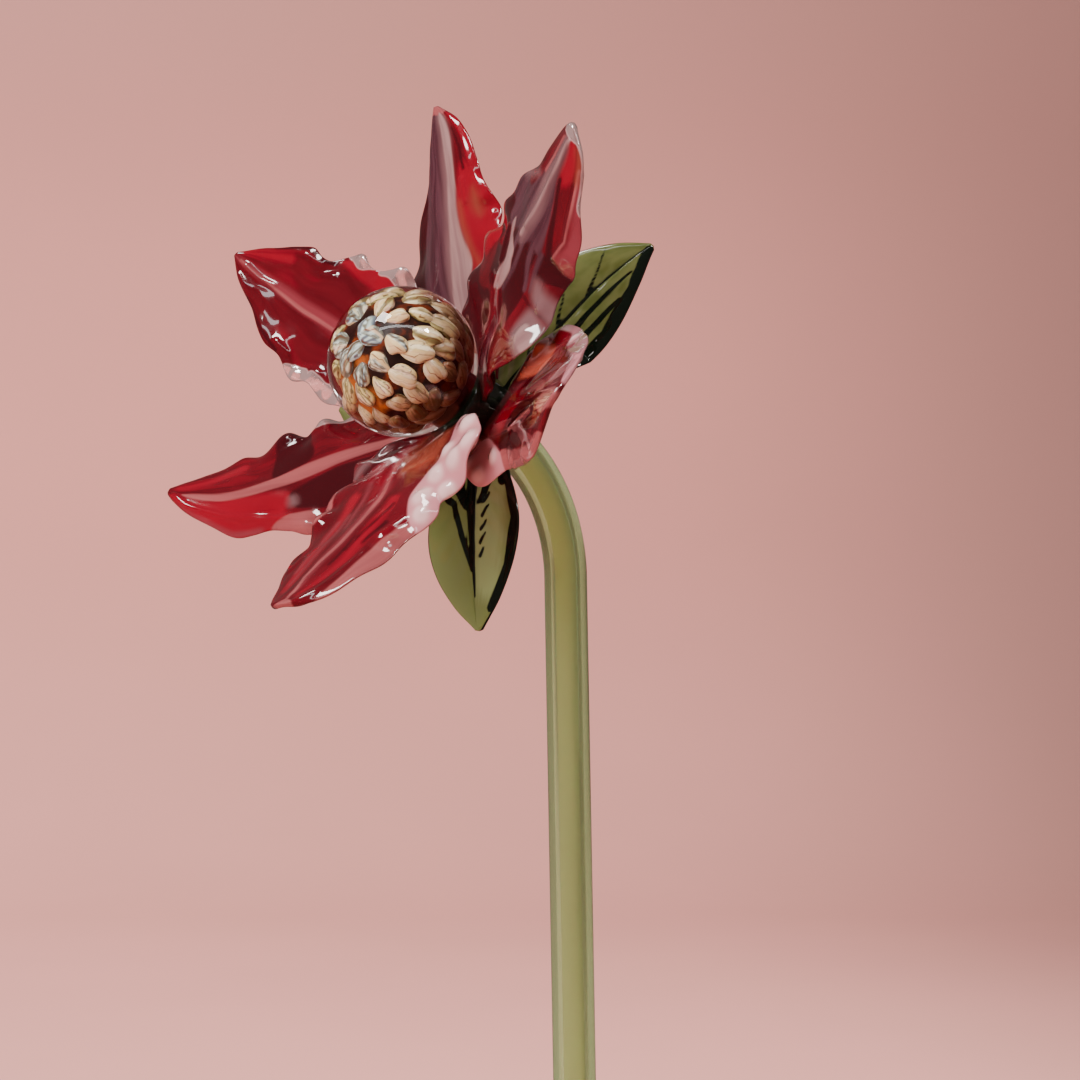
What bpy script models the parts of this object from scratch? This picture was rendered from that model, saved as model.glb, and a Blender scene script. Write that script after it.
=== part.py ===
"""A lampworked glass flower on a bent glass stem, standing in a plain bud vase.

Six ruffled petals and three leaves grow from a dark turned calyx, round a clear ball that
holds a core of small scales. Metres, +Z up. The origin is the middle of the vase's foot,
and the viewer stands at -Y.
"""

import math

import bmesh
import bpy
from mathutils import Matrix, Vector

# Fit between pieces that touch
GAP = 0.0003

# Vase: height, radii of foot, belly, neck and lip, and its wall
VASE_HEIGHT = 0.185
VASE_FOOT_RADIUS = 0.038
VASE_BELLY_RADIUS = 0.047
VASE_BELLY_HEIGHT = 0.062
VASE_NECK_RADIUS = 0.0125
VASE_NECK_HEIGHT = 0.150
VASE_LIP_RADIUS = 0.0165
VASE_BORE = 0.0076
VASE_WALL = 0.004
VASE_FLOOR = 0.010
VASE_STEPS = 36

# Stem: a heavy-walled tube, straight up to its shoulder and then bent over
STEM_RADIUS = 0.006
STEM_BORE = 0.003
STEM_SHOULDER = Vector((-0.0041, 0.0, 0.3442))
STEM_LEAN = math.radians(1.02)
BEND_RADIUS = 0.0460
NECK_LENGTH = 0.0036
STRAIGHT_STATIONS = 7
BEND_STATIONS = 10

# Flower head: how far its axis tips from upright, and the way that it faces
FLOWER_TILT = math.radians(62.5)
FLOWER_HEADING = math.radians(223.0)
CALYX_BACK = 0.0087
CALYX_RADIUS = 0.0112

# Ball: a clear casing round a core with scales
BALL_RADIUS = 0.020
BALL_HEIGHT = 0.0265
CAVITY_RADIUS = 0.0136
CASING_MOUTH = 0.0062
CORE_RADIUS = 0.0113
SCALE_RELIEF = 0.0018
SCALES_AROUND = 12
SCALE_ROWS = 6
CORE_NECK = 0.0045

# Petals, the same on each: root circle, two whorls, width, thickness and ruffles
ROOT_RADIUS = 0.009
INNER_WHORL = 0.0040
OUTER_WHORL = -0.0024
PETAL_WIDTH = 0.0195
PETAL_OUTLINE = [(0.0, 0.42), (0.2, 0.84), (0.4, 1.0), (0.58, 0.95), (0.76, 0.68), (0.9, 0.34), (1.0, 0.04)]
PETAL_THICKNESS = 0.0034
EDGE_THICKNESS = 0.0016
RUFFLES = 6.5
RUFFLE_OUT = 0.0019
RUFFLE_UP = 0.0013
PETAL_GRID = (26, 6)

# One row a petal: name, whorl, heading, opening from the axis at root, middle and tip,
# sideways sweep and its bend, length, then for each side its width, fold and ruffle phase
PETALS = [
    ("petal_upper_left", INNER_WHORL, 71.8, (62.9, 60.5, 56.3), (-2.4, -8.8), 0.0800,
     (0.80, 10.0, 0.10), (1.05, 12.0, 0.55)),
    ("petal_top", OUTER_WHORL, 17.1, (52.3, 63.5, 69.5), (-2.5, -4.7), 0.0813,
     (0.64, -25.0, 0.30), (0.97, -2.0, 0.80)),
    ("petal_upper_right", INNER_WHORL, -46.2, (46.0, 60.8, 65.1), (-1.0, 0.3), 0.0819,
     (0.95, 2.0, 0.20), (1.08, -22.0, 0.65)),
    ("petal_right", OUTER_WHORL, -106.8, (56.0, 61.5, 66.0), (2.6, 3.2), 0.0820,
     (1.22, -12.0, 0.45), (0.92, -34.0, 0.0)),
    ("petal_lower_left", INNER_WHORL, -165.2, (46.0, 67.3, 56.7), (-3.9, -17.6), 0.0815,
     (1.02, -20.0, 0.75), (0.98, 8.0, 0.35)),
    ("petal_left", OUTER_WHORL, -232.5, (52.4, 71.4, 50.8), (-1.2, -23.0), 0.0837,
     (0.82, -8.0, 0.60), (0.86, 0.0, 0.15)),
]
ROOT_FOLD = {INNER_WHORL: 14.0, OUTER_WHORL: 6.0}
FOLD_ROUNDING = 0.004

# Leaves: name, heading, opening at root, middle and tip, sweep, length, roll about the
# midrib, and the widths of the two sides
LEAF_HEIGHT = -0.0066
LEAF_ROOT = 0.007
LEAF_OUTLINE = [(0.0, 0.45), (0.2, 0.80), (0.45, 1.0), (0.65, 0.88), (0.85, 0.50), (1.0, 0.05)]
LEAF_THICKNESS = 0.0026
LEAF_EDGE = 0.0020
LEAF_GROOVE = 0.0030
LEAF_GRID = (14, 6)
LEAVES = [
    ("leaf_upper_right", -22.0, (94.0, 96.0, 106.0), (0.0, -20.0), 0.060, 40.0, 0.0145, 0.0135),
    ("leaf_lower", -168.0, (98.0, 107.0, 112.0), (0.0, 0.0), 0.052, 0.0, 0.0150, 0.0165),
    ("leaf_behind", 85.0, (90.0, 88.0, 84.0), (0.0, 0.0), 0.057, 0.0, 0.0130, 0.0130),
]


def clear_scene():
    for obj in list(bpy.data.objects):
        bpy.data.objects.remove(obj, do_unlink=True)


def new_collection(name):
    collection = bpy.data.collections.new(name)
    bpy.context.scene.collection.children.link(collection)
    return collection


def make_material(name, colour, roughness, transmission=0.0, ior=1.47):
    """A glossy glass or glaze: colour, roughness and how much light it lets through."""
    material = bpy.data.materials.new(name)
    material.use_nodes = True
    material.diffuse_color = (*colour, 1.0)
    shader = material.node_tree.nodes["Principled BSDF"]
    shader.inputs["Base Color"].default_value = (*colour, 1.0)
    shader.inputs["Roughness"].default_value = roughness
    shader.inputs["Metallic"].default_value = 0.0
    shader.inputs["Transmission Weight"].default_value = transmission
    shader.inputs["IOR"].default_value = ior
    return material


def add_object(name, mesh, collection, material, parent=None):
    obj = bpy.data.objects.new(name, mesh)
    collection.objects.link(obj)
    obj.data.materials.append(material)
    obj.parent = parent
    return obj


def between(points, s):
    """A smooth value at s, from a short list of (s, value) pairs."""
    for (s0, v0), (s1, v1) in zip(points, points[1:]):
        if s <= s1:
            k = (s - s0) / (s1 - s0)
            before = slope(points, s0) * (s1 - s0)
            after = slope(points, s1) * (s1 - s0)
            return (
                v0 * (1 + 2 * k) * (1 - k) ** 2
                + before * k * (1 - k) ** 2
                + v1 * k * k * (3 - 2 * k)
                - after * k * k * (1 - k)
            )
    return points[-1][1]


def slope(points, s):
    """The slope of the smooth curve at one of its points."""
    index = [place for place, _ in points].index(s)
    (s0, v0), (s1, v1) = points[max(index - 1, 0)], points[min(index + 1, len(points) - 1)]
    return (v1 - v0) / (s1 - s0)


def turned(name, profile, steps, collection, material, parent=None):
    """A turned piece. The profile runs top to bottom on its outer side, as (radius, height)."""
    mesh = bpy.data.meshes.new(name)
    bm = bmesh.new()
    verts = [bm.verts.new((radius, 0.0, height)) for radius, height in profile]
    for first, second in zip(verts, verts[1:]):
        bm.edges.new((first, second))
    bm.to_mesh(mesh)
    bm.free()
    obj = add_object(name, mesh, collection, material, parent)
    screw = obj.modifiers.new("Turn", "SCREW")
    screw.axis = "Z"
    screw.steps = steps
    screw.render_steps = steps
    screw.use_merge_vertices = True
    screw.merge_threshold = 0.00001
    screw.use_smooth_shade = True
    return obj


def arc(centre, radius, start, end, count):
    """Points (radius from the axis, height) on an arc, by angle from straight up."""
    points = []
    for i in range(count + 1):
        angle = math.radians(start + (end - start) * i / count)
        points.append((abs(radius * math.sin(angle)), centre + radius * math.cos(angle)))
    return points


def make_vase(collection):
    """The vase: a full belly, a narrow neck that holds the stem, and a small flared lip."""
    outside = [
        (0.0, VASE_LIP_RADIUS),
        (0.022, 0.0140),
        (VASE_HEIGHT - VASE_NECK_HEIGHT, VASE_NECK_RADIUS),
        (0.058, 0.0180),
        (0.085, 0.0345),
        (VASE_HEIGHT - VASE_BELLY_HEIGHT, VASE_BELLY_RADIUS),
        (0.152, 0.0452),
        (0.178, VASE_FOOT_RADIUS + 0.0015),
    ]
    heights = [0.0, 0.006, 0.013, 0.022, 0.035, 0.046, 0.058, 0.072, 0.085, 0.098]
    heights += [0.110, VASE_HEIGHT - VASE_BELLY_HEIGHT, 0.137, 0.152, 0.166, 0.178]
    lip = [(VASE_LIP_RADIUS - 0.0018, VASE_HEIGHT)]
    outer = [(between(outside, h), VASE_HEIGHT - 0.0014 - h) for h in heights]
    foot = [(VASE_FOOT_RADIUS, 0.0012), (VASE_FOOT_RADIUS - 0.0012, 0.0), (0.0, 0.0)]
    inner = [(0.0, VASE_FLOOR), (VASE_FOOT_RADIUS - VASE_WALL - 0.004, VASE_FLOOR)]
    for h in reversed(heights[4:-1]):
        radius = max(between(outside, h) - VASE_WALL, VASE_BORE)
        inner.append((radius, VASE_HEIGHT - 0.0014 - h))
    mouth = [(VASE_BORE, VASE_HEIGHT - 0.012), (VASE_BORE, VASE_HEIGHT - 0.005)]
    mouth += [(VASE_BORE + 0.0015, VASE_HEIGHT)]
    glaze = make_material("pale_glaze", (0.78, 0.74, 0.70), 0.35)
    return turned("vase", lip + outer + foot + inner + mouth + lip, VASE_STEPS, collection, glaze)


def stem_path():
    """The stem's centre line, from its foot on the vase's floor to the back of the calyx."""
    foot_height = VASE_FLOOR + GAP + STEM_RADIUS * math.sin(STEM_LEAN)
    rise = STEM_SHOULDER.z - foot_height
    points = []
    for i in range(STRAIGHT_STATIONS):
        k = i / STRAIGHT_STATIONS
        drop = rise * (1 - k)
        points.append(STEM_SHOULDER + Vector((drop * math.tan(STEM_LEAN), 0.0, -drop)))
    for i in range(BEND_STATIONS + 1):
        angle = FLOWER_TILT * i / BEND_STATIONS
        out = BEND_RADIUS * (1 - math.cos(angle))
        forward = Vector((math.cos(FLOWER_HEADING), math.sin(FLOWER_HEADING), 0.0))
        points.append(STEM_SHOULDER + forward * out + Vector((0.0, 0.0, BEND_RADIUS * math.sin(angle))))
    points.append(points[-1] + flower_axis() * NECK_LENGTH)
    return points


def flower_axis():
    level = math.sin(FLOWER_TILT)
    return Vector((
        level * math.cos(FLOWER_HEADING),
        level * math.sin(FLOWER_HEADING),
        math.cos(FLOWER_TILT),
    ))


def flower_frame():
    """Where the flower head sits: X up across its face, Z out along its axis."""
    axis = flower_axis()
    up = Vector((0.0, 0.0, 1.0))
    across = (up - axis * up.dot(axis)).normalized()
    side = axis.cross(across)
    place = stem_path()[-1] + axis * (CALYX_BACK + GAP)
    frame = Matrix((across, side, axis)).transposed().to_4x4()
    frame.translation = place
    return frame


def make_stem(collection):
    """The stem: a bent tube, open at its foot, with its wall all along."""
    curve = bpy.data.curves.new("stem_line", "CURVE")
    curve.dimensions = "3D"
    curve.bevel_depth = STEM_RADIUS
    curve.bevel_resolution = 6
    curve.use_fill_caps = False
    spline = curve.splines.new("POLY")
    points = stem_path()
    spline.points.add(len(points) - 1)
    for point, place in zip(spline.points, points):
        point.co = (*place, 1.0)
    line = bpy.data.objects.new("stem_line", curve)
    collection.objects.link(line)
    graph = bpy.context.evaluated_depsgraph_get()
    mesh = bpy.data.meshes.new_from_object(line.evaluated_get(graph))
    bpy.data.objects.remove(line)
    glass = make_material("stem_glass", (0.30, 0.30, 0.16), 0.03, transmission=0.8)
    stem = add_object("stem", mesh, collection, glass)
    mesh.materials.clear()
    mesh.materials.append(glass)
    wall = stem.modifiers.new("Wall", "SOLIDIFY")
    wall.thickness = STEM_RADIUS - STEM_BORE
    wall.offset = -1.0
    mesh.shade_smooth()
    return stem


def calyx_profile(spare):
    """The calyx from its front rim to its back. The spare is what a cutter stands out."""
    front = BALL_RADIUS + GAP
    seat = [(r, BALL_HEIGHT - math.sqrt(front**2 - r**2)) for r in (0.0, 0.0035, 0.0062, 0.0084)]
    side = [
        (0.0094, 0.0076),
        (0.0106, 0.0055),
        (CALYX_RADIUS, 0.0022),
        (CALYX_RADIUS, -0.0026),
        (0.0104, -0.0060),
        (0.0088, -0.0078),
        (STEM_RADIUS + 0.0008, -CALYX_BACK),
        (0.0, -CALYX_BACK),
    ]
    if spare:
        cover = [(0.0, 0.0085), (0.0095, 0.0085)]
        return cover + [(radius + spare if radius else 0.0, height) for radius, height in side[:-1]] + [
            (0.0, -CALYX_BACK)
        ]
    return seat + side


def make_calyx(collection, cutters, flower):
    """The calyx: the dark turned knob that carries the ball, the petals and the leaves."""
    glass = make_material("calyx_glass", (0.015, 0.03, 0.012), 0.05)
    turned("calyx", calyx_profile(0.0), 24, collection, glass, flower)
    cutter = turned("calyx_room", calyx_profile(GAP), 24, cutters, glass, flower)
    cutter.hide_render = True
    cutter.display_type = "WIRE"
    return cutter


def make_casing(collection, flower):
    """The ball's clear casing: a thick shell, open at the back where the core's neck leaves."""
    open_outside = 180.0 - math.degrees(math.asin(CASING_MOUTH / BALL_RADIUS))
    open_inside = 180.0 - math.degrees(math.asin(CASING_MOUTH / CAVITY_RADIUS))
    outside = arc(BALL_HEIGHT, BALL_RADIUS, 0.0, open_outside, 13)
    inside = arc(BALL_HEIGHT, CAVITY_RADIUS, open_inside, 0.0, 9)
    glass = make_material("clear_glass", (1.0, 1.0, 1.0), 0.0, transmission=1.0)
    return turned("ball_casing", outside + inside, 28, collection, glass, flower)


def scale_height(polar, around):
    """How far the core's surface stands out, 0 to 1: rows of drop-shaped scales, in brickwork."""
    row = polar / math.pi * SCALE_ROWS
    index = min(int(row), SCALE_ROWS - 1)
    along = row - index
    turn = around / math.tau * SCALES_AROUND + 0.5 * (index % 2)
    across = 2.0 * (turn - math.floor(turn)) - 1.0
    width = math.sqrt(max(0.0, 1.0 - along)) * 0.95
    inside = max(0.0, 1.0 - (across / max(width, 0.15)) ** 2)
    return math.sqrt(inside) * (1.0 - 0.45 * along) * min(1.0, along * 6.0)


def make_core(collection, flower):
    """The ball's core, with rows of scales that stand out of it and a short neck at its back."""
    columns = SCALES_AROUND * 4
    rows = SCALE_ROWS * 4
    mesh = bpy.data.meshes.new("ball_core")
    bm = bmesh.new()
    bmesh.ops.create_uvsphere(bm, u_segments=columns, v_segments=rows, radius=1.0)
    neck_polar = math.pi - math.asin(CORE_NECK / CORE_RADIUS)
    for vert in bm.verts:
        polar = math.acos(max(-1.0, min(1.0, vert.co.z)))
        around = math.atan2(vert.co.y, vert.co.x) % math.tau
        if polar > neck_polar:
            reach = BALL_HEIGHT - math.sqrt((BALL_RADIUS + GAP) ** 2 - CORE_NECK**2)
            depth = BALL_HEIGHT - reach - 2.0 * GAP
            flat = CORE_NECK * math.sin(polar) / math.sin(neck_polar)
            vert.co = Vector((flat * math.cos(around), flat * math.sin(around), BALL_HEIGHT - depth))
            continue
        fade = min(1.0, max(0.0, (2.7 - polar) / 0.3))
        radius = CORE_RADIUS + SCALE_RELIEF * scale_height(polar, around) * fade
        level = radius * math.sin(polar)
        vert.co = Vector((
            level * math.cos(around),
            level * math.sin(around),
            BALL_HEIGHT + radius * math.cos(polar),
        ))
    bm.to_mesh(mesh)
    bm.free()
    mesh.shade_smooth()
    glass = make_material("core_glass", (0.55, 0.42, 0.20), 0.15)
    return add_object("ball_core", mesh, collection, glass, flower)


def blade_line(opening, sweep, length, start, count):
    """Stations along a midrib in its own frame, X outward, Z along the flower's axis.

    Each is (place, sideways, normal). The opening is the angle from the axis."""
    root, middle, tip = (math.radians(angle) for angle in opening)
    turn, more = (math.radians(angle) for angle in sweep)

    def heading(s):
        angle = root * (1 - s) * (1 - 2 * s) + middle * 4 * s * (1 - s) + tip * s * (2 * s - 1)
        return angle, turn * s + more * s * s

    stations = []
    place = Vector(start)
    for i in range(count + 1):
        angle, aside = heading(i / count)
        forward = Vector((
            math.sin(angle) * math.cos(aside),
            math.sin(aside),
            math.cos(angle) * math.cos(aside),
        ))
        normal = Vector((-math.cos(angle), 0.0, math.sin(angle)))
        stations.append((place.copy(), normal.cross(forward).normalized(), normal))
        angle, aside = heading((i + 0.5) / count)
        place += Vector((
            math.sin(angle) * math.cos(aside),
            math.sin(aside),
            math.cos(angle) * math.cos(aside),
        )) * (length / count)
    return stations


def add_blade(name, grid, place_at, thickness, edge, collection, material, parent, heading, cutter):
    """A petal or a leaf: a grid bent by a formula, given its thickness, and cut to its seat."""
    along, across = grid
    mesh = bpy.data.meshes.new(name)
    bm = bmesh.new()
    bmesh.ops.create_grid(bm, x_segments=along, y_segments=across, size=1.0)
    weights = []
    for vert in bm.verts:
        s = (vert.co.x + 1.0) / 2.0
        u = vert.co.y
        weights.append((thickness + (edge - thickness) * max(u * u, s**6)) / thickness)
        vert.co = place_at(s, u)
    bm.to_mesh(mesh)
    bm.free()
    mesh.shade_smooth()
    obj = add_object(name, mesh, collection, material, parent)
    obj.rotation_euler.z = math.radians(heading)
    group = obj.vertex_groups.new(name="thickness")
    for index, weight in enumerate(weights):
        group.add([index], weight, "REPLACE")
    split = obj.modifiers.new("Split", "TRIANGULATE")
    split.quad_method = "FIXED"
    solid = obj.modifiers.new("Thickness", "SOLIDIFY")
    solid.thickness = thickness
    solid.offset = 0.0
    solid.vertex_group = "thickness"
    seat = obj.modifiers.new("Seat", "BOOLEAN")
    seat.operation = "DIFFERENCE"
    seat.object = cutter
    return obj


def make_petal(row, collection, material, flower, cutter):
    name, whorl, heading, opening, sweep, length, left, right = row
    along, across = PETAL_GRID
    stations = blade_line(opening, sweep, length, (ROOT_RADIUS, 0.0, whorl), along)

    def place_at(s, u):
        width, fold, phase = left if u >= 0 else right
        centre, sideways, normal = stations[round(s * along)]
        fade = math.sin(math.pi * min(1.0, s / 0.5) / 2) * (1 - s) ** 1.3
        wave = (2 * abs(math.sin(math.pi * (RUFFLES * s + phase))) - 1) * fade
        half = PETAL_WIDTH * width * between(PETAL_OUTLINE, s) + RUFFLE_OUT * wave
        x = abs(u) * half
        ease = min(1.0, max(0.0, (s - 0.2) / 0.35))
        ease = ease * ease * (3 - 2 * ease)
        angle = math.radians(ROOT_FOLD[whorl] + (fold - ROOT_FOLD[whorl]) * ease)
        lift = (math.sqrt(x * x + FOLD_ROUNDING**2) - FOLD_ROUNDING) * math.sin(angle)
        lift += RUFFLE_UP * u * u * math.cos(math.tau * (RUFFLES * s + phase)) * fade
        return centre + sideways * math.copysign(x * math.cos(angle), u) + normal * lift

    return add_blade(name, PETAL_GRID, place_at, PETAL_THICKNESS, EDGE_THICKNESS,
                     collection, material, flower, heading, cutter)


def make_leaf(row, collection, material, flower, cutter):
    name, heading, opening, sweep, length, roll, left, right = row
    along, across = LEAF_GRID
    stations = blade_line(opening, sweep, length, (LEAF_ROOT, 0.0, LEAF_HEIGHT), along)

    def place_at(s, u):
        centre, sideways, normal = stations[round(s * along)]
        half = (left if u >= 0 else right) * between(LEAF_OUTLINE, s)
        groove = LEAF_GROOVE * min(1.0, s * 4) * (1 - s * s)
        lift = groove * abs(u) - 0.4 * groove * u * u
        lean = math.radians(roll) * min(1.0, s / 0.4) ** 2
        over = sideways * math.cos(lean) + normal * math.sin(lean)
        proud = normal * math.cos(lean) - sideways * math.sin(lean)
        return centre + over * (u * half) + proud * lift

    return add_blade(name, LEAF_GRID, place_at, LEAF_THICKNESS, LEAF_EDGE,
                     collection, material, flower, heading, cutter)


def main():
    clear_scene()
    collection = new_collection("glass_flower_in_vase")
    cutters = new_collection("cutters")
    make_vase(collection)
    make_stem(collection)
    flower = bpy.data.objects.new("flower_head", None)
    collection.objects.link(flower)
    flower.matrix_world = flower_frame()
    cutter = make_calyx(collection, cutters, flower)
    make_casing(collection, flower)
    make_core(collection, flower)
    petal_glass = make_material("petal_glass", (0.32, 0.012, 0.02), 0.04, transmission=0.3)
    for row in PETALS:
        make_petal(row, collection, petal_glass, flower, cutter)
    leaf_glass = make_material("leaf_glass", (0.20, 0.22, 0.08), 0.04, transmission=0.5)
    for row in LEAVES:
        make_leaf(row, collection, leaf_glass, flower, cutter)


main()
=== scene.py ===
import math

import bmesh
import bpy
import numpy as np
from mathutils import Matrix, Vector


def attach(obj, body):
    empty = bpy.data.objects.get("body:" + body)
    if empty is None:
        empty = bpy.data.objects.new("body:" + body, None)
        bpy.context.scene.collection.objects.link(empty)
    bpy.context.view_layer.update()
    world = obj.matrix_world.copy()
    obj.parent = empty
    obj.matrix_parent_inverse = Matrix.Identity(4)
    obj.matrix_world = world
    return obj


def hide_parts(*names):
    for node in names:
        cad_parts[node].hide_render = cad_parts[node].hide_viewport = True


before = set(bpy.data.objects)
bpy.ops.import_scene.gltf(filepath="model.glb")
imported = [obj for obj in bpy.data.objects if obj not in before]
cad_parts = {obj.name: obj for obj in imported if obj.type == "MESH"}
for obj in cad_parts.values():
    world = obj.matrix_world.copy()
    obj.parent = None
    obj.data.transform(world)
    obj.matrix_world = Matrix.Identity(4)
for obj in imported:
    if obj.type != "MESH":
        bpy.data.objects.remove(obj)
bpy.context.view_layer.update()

# Vase
# A stoneware bud vase, turned in one piece and glazed in a pale satin blush. The glaze is
# thin and brown where it broke over the lip and was wiped from the foot.

VASE_HEIGHT = 0.185
VASE_FOOT = 0.038
VASE_BORE = 0.0076
VASE_WALL = 0.004
VASE_FLOOR = 0.010
LIP_ROUNDING = 0.0014
LIP_INNER_DROP = 0.0006
MOUTH_FLARE = 0.0015
FOOT_ROUNDING = 0.0014
FOOT_EASE = 0.0004
FLOOR_ROUNDING = 0.004
INSIDE_DEPTHS = (0.166, 0.006)
VASE_OUTSIDE = [
    (0.0, 0.0165), (0.022, 0.0140), (0.035, 0.0125), (0.058, 0.0180),
    (0.085, 0.0345), (0.123, 0.0470), (0.152, 0.0452), (0.178, 0.0395),
]
VASE_RINGS = 90
LIP_RINGS = 12
VASE_STEPS = 120
BLUSH_GLAZE = (0.66, 0.50, 0.44)
MILKY_GLAZE = (0.80, 0.70, 0.64)
BARE_CLAY = (0.20, 0.105, 0.062)


def through(points, s):
    """Values at s on a smooth line through a few (s, value) points."""
    places, values = np.array(points, float).T
    count = np.arange(len(places))
    before = np.maximum(count - 1, 0)
    after = np.minimum(count + 1, len(places) - 1)
    slopes = (values[after] - values[before]) / (places[after] - places[before])
    i = np.clip(np.searchsorted(places, s, side="right") - 1, 0, len(places) - 2)
    width = places[i + 1] - places[i]
    k = np.clip((s - places[i]) / width, 0.0, 1.0)
    return (
        values[i] * (1 + 2 * k) * (1 - k) ** 2
        + slopes[i] * width * k * (1 - k) ** 2
        + values[i + 1] * k * k * (3 - 2 * k)
        - slopes[i + 1] * width * k * k * (1 - k)
    )


def add_piece(name, mesh, finish, slot, *nodes):
    """Puts a finished piece in the scene, in the place of the solids that it stands for."""
    piece = bpy.data.objects.new(name, mesh)
    bpy.context.scene.collection.objects.link(piece)
    mesh.materials.clear()
    mesh.materials.append(finish)
    mesh.shade_smooth()
    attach(piece, "root")
    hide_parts(*nodes)
    return piece


def new_finish(name, **values):
    """A material with its shader's plain values set. Gives the material, its tree and shader."""
    finish = bpy.data.materials.new(name)
    finish.use_nodes = True
    tree = finish.node_tree
    shader = tree.nodes["Principled BSDF"]
    for key, value in values.items():
        shader.inputs[key.replace("_", " ")].default_value = value
    return finish, tree, shader


def add_node(tree, kind, inputs, **settings):
    """A shader node. Each input is a plain value, or the socket that feeds it."""
    made = tree.nodes.new("ShaderNode" + kind)
    for key, value in settings.items():
        setattr(made, key, value)
    for key, value in inputs.items():
        if isinstance(value, bpy.types.NodeSocket):
            tree.links.new(value, made.inputs[key])
        else:
            made.inputs[key].default_value = value
    return made


def own_place(tree):
    """Where each point of the piece lies, in metres."""
    return add_node(tree, "TexCoord", {}).outputs["Object"]


def spots(tree, where, stretch, detail=3.0, roughness=0.5):
    """Noise, 0 to 1, with its grain stretched by so many turns a metre each way."""
    grain = add_node(tree, "Mapping", {"Vector": where, "Scale": stretch})
    inputs = {"Vector": grain.outputs[0], "Scale": 1.0, "Detail": detail, "Roughness": roughness}
    return add_node(tree, "TexNoise", inputs).outputs["Fac"]


def between(tree, value, low, high, start=0.0, end=1.0):
    """Eases from start to end as the value goes from low to high."""
    return add_node(
        tree, "MapRange",
        {"Value": value, "From Min": low, "From Max": high, "To Min": start, "To Max": end},
        interpolation_type="SMOOTHSTEP",
    ).outputs[0]


def sums(tree, kind, a, b):
    """One sum of two values, by the name that the Math node gives it."""
    return add_node(tree, "Math", {0: a, 1: b}, operation=kind).outputs[0]


def laid_over(tree, amount, under, over):
    """One colour over another, by an amount from 0 to 1."""
    under = under if isinstance(under, bpy.types.NodeSocket) else (*under, 1.0)
    over = over if isinstance(over, bpy.types.NodeSocket) else (*over, 1.0)
    return add_node(tree, "Mix", {0: amount, 6: under, 7: over}, data_type="RGBA").outputs[2]


def uneven(tree, shader, height, strength, distance):
    """Lets a height shape the light on the surface."""
    bump = add_node(tree, "Bump", {"Height": height, "Strength": strength, "Distance": distance})
    tree.links.new(bump.outputs[0], shader.inputs["Normal"])


def turned_mesh(name, profile, steps):
    """A mesh turned about the upright axis from (radius, height) points."""
    mesh = bpy.data.meshes.new(name)
    bm = bmesh.new()
    verts = [bm.verts.new((radius, 0.0, height)) for radius, height in profile]
    edges = [bm.edges.new(pair) for pair in zip(verts, verts[1:])]
    bmesh.ops.spin(
        bm, geom=verts + edges, cent=(0, 0, 0), axis=(0, 0, 1), angle=math.tau, steps=steps,
        use_merge=True,
    )
    bmesh.ops.remove_doubles(bm, verts=bm.verts, dist=0.00001)
    bmesh.ops.recalc_face_normals(bm, faces=bm.faces)
    bm.to_mesh(mesh)
    bm.free()
    return mesh


def vase_profile():
    """The vase's section, from under its foot up the outside, over the lip and down the inside."""
    top = VASE_HEIGHT - LIP_ROUNDING
    depths = np.linspace(0.0, VASE_OUTSIDE[-1][0], VASE_RINGS)
    outer = [(r, top - h) for r, h in zip(through(VASE_OUTSIDE, depths), depths)]
    mouth_radius = VASE_OUTSIDE[0][1]
    middle = (mouth_radius + VASE_BORE + MOUTH_FLARE) / 2
    reach = mouth_radius - middle
    lip = []
    for turn in np.linspace(0.0, math.pi, LIP_RINGS + 1)[1:]:
        drop = LIP_ROUNDING if turn < math.pi / 2 else LIP_ROUNDING + LIP_INNER_DROP
        lip.append((middle + reach * math.cos(turn), VASE_HEIGHT - drop * (1 - math.sin(turn))))
    foot = [(VASE_FOOT, FOOT_ROUNDING), (VASE_FOOT - FOOT_EASE, FOOT_EASE)]
    foot += [(VASE_FOOT - FOOT_ROUNDING, 0.0), (0.0, 0.0)]
    inner = [(0.0, VASE_FLOOR), (VASE_FOOT - VASE_WALL - FLOOR_ROUNDING, VASE_FLOOR)]
    for depth in np.linspace(*INSIDE_DEPTHS, VASE_RINGS // 2):
        wall = max(float(through(VASE_OUTSIDE, depth)) - VASE_WALL, VASE_BORE)
        inner.append((wall, top - depth))
    return foot[::-1] + outer[::-1] + lip + inner[::-1]


glaze, tree, shader = new_finish("blush_glaze", IOR=1.45, Coat_Weight=0.25, Coat_Roughness=0.2)
where = own_place(tree)
height = add_node(tree, "SeparateXYZ", {"Vector": where}).outputs["Z"]
cloud = spots(tree, where, (38, 38, 22), 4.0)
speck = spots(tree, where, (900, 900, 900), 2.0)
pooled = laid_over(tree, between(tree, cloud, 0.35, 0.7), BLUSH_GLAZE, MILKY_GLAZE)
wobble = sums(tree, "MULTIPLY", cloud, 0.006)
edge = sums(tree, "ADD", height, wobble)
lip_break = between(tree, edge, VASE_HEIGHT + 0.0005, VASE_HEIGHT + 0.0030)
foot_break = between(tree, edge, 0.0085, 0.0055)
wiped = sums(tree, "MAXIMUM", lip_break, foot_break)
colour = laid_over(tree, between(tree, speck, 0.70, 0.76, 0.0, 0.75), pooled, BARE_CLAY)
colour = laid_over(tree, wiped, colour, BARE_CLAY)
tree.links.new(colour, shader.inputs["Base Color"])
tree.links.new(between(tree, cloud, 0.3, 0.7, 0.30, 0.46), shader.inputs["Roughness"])
uneven(tree, shader, sums(tree, "ADD", cloud, sums(tree, "MULTIPLY", speck, 0.15)), 0.25, 0.0008)
vase = turned_mesh("bud_vase", vase_profile(), VASE_STEPS)
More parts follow.
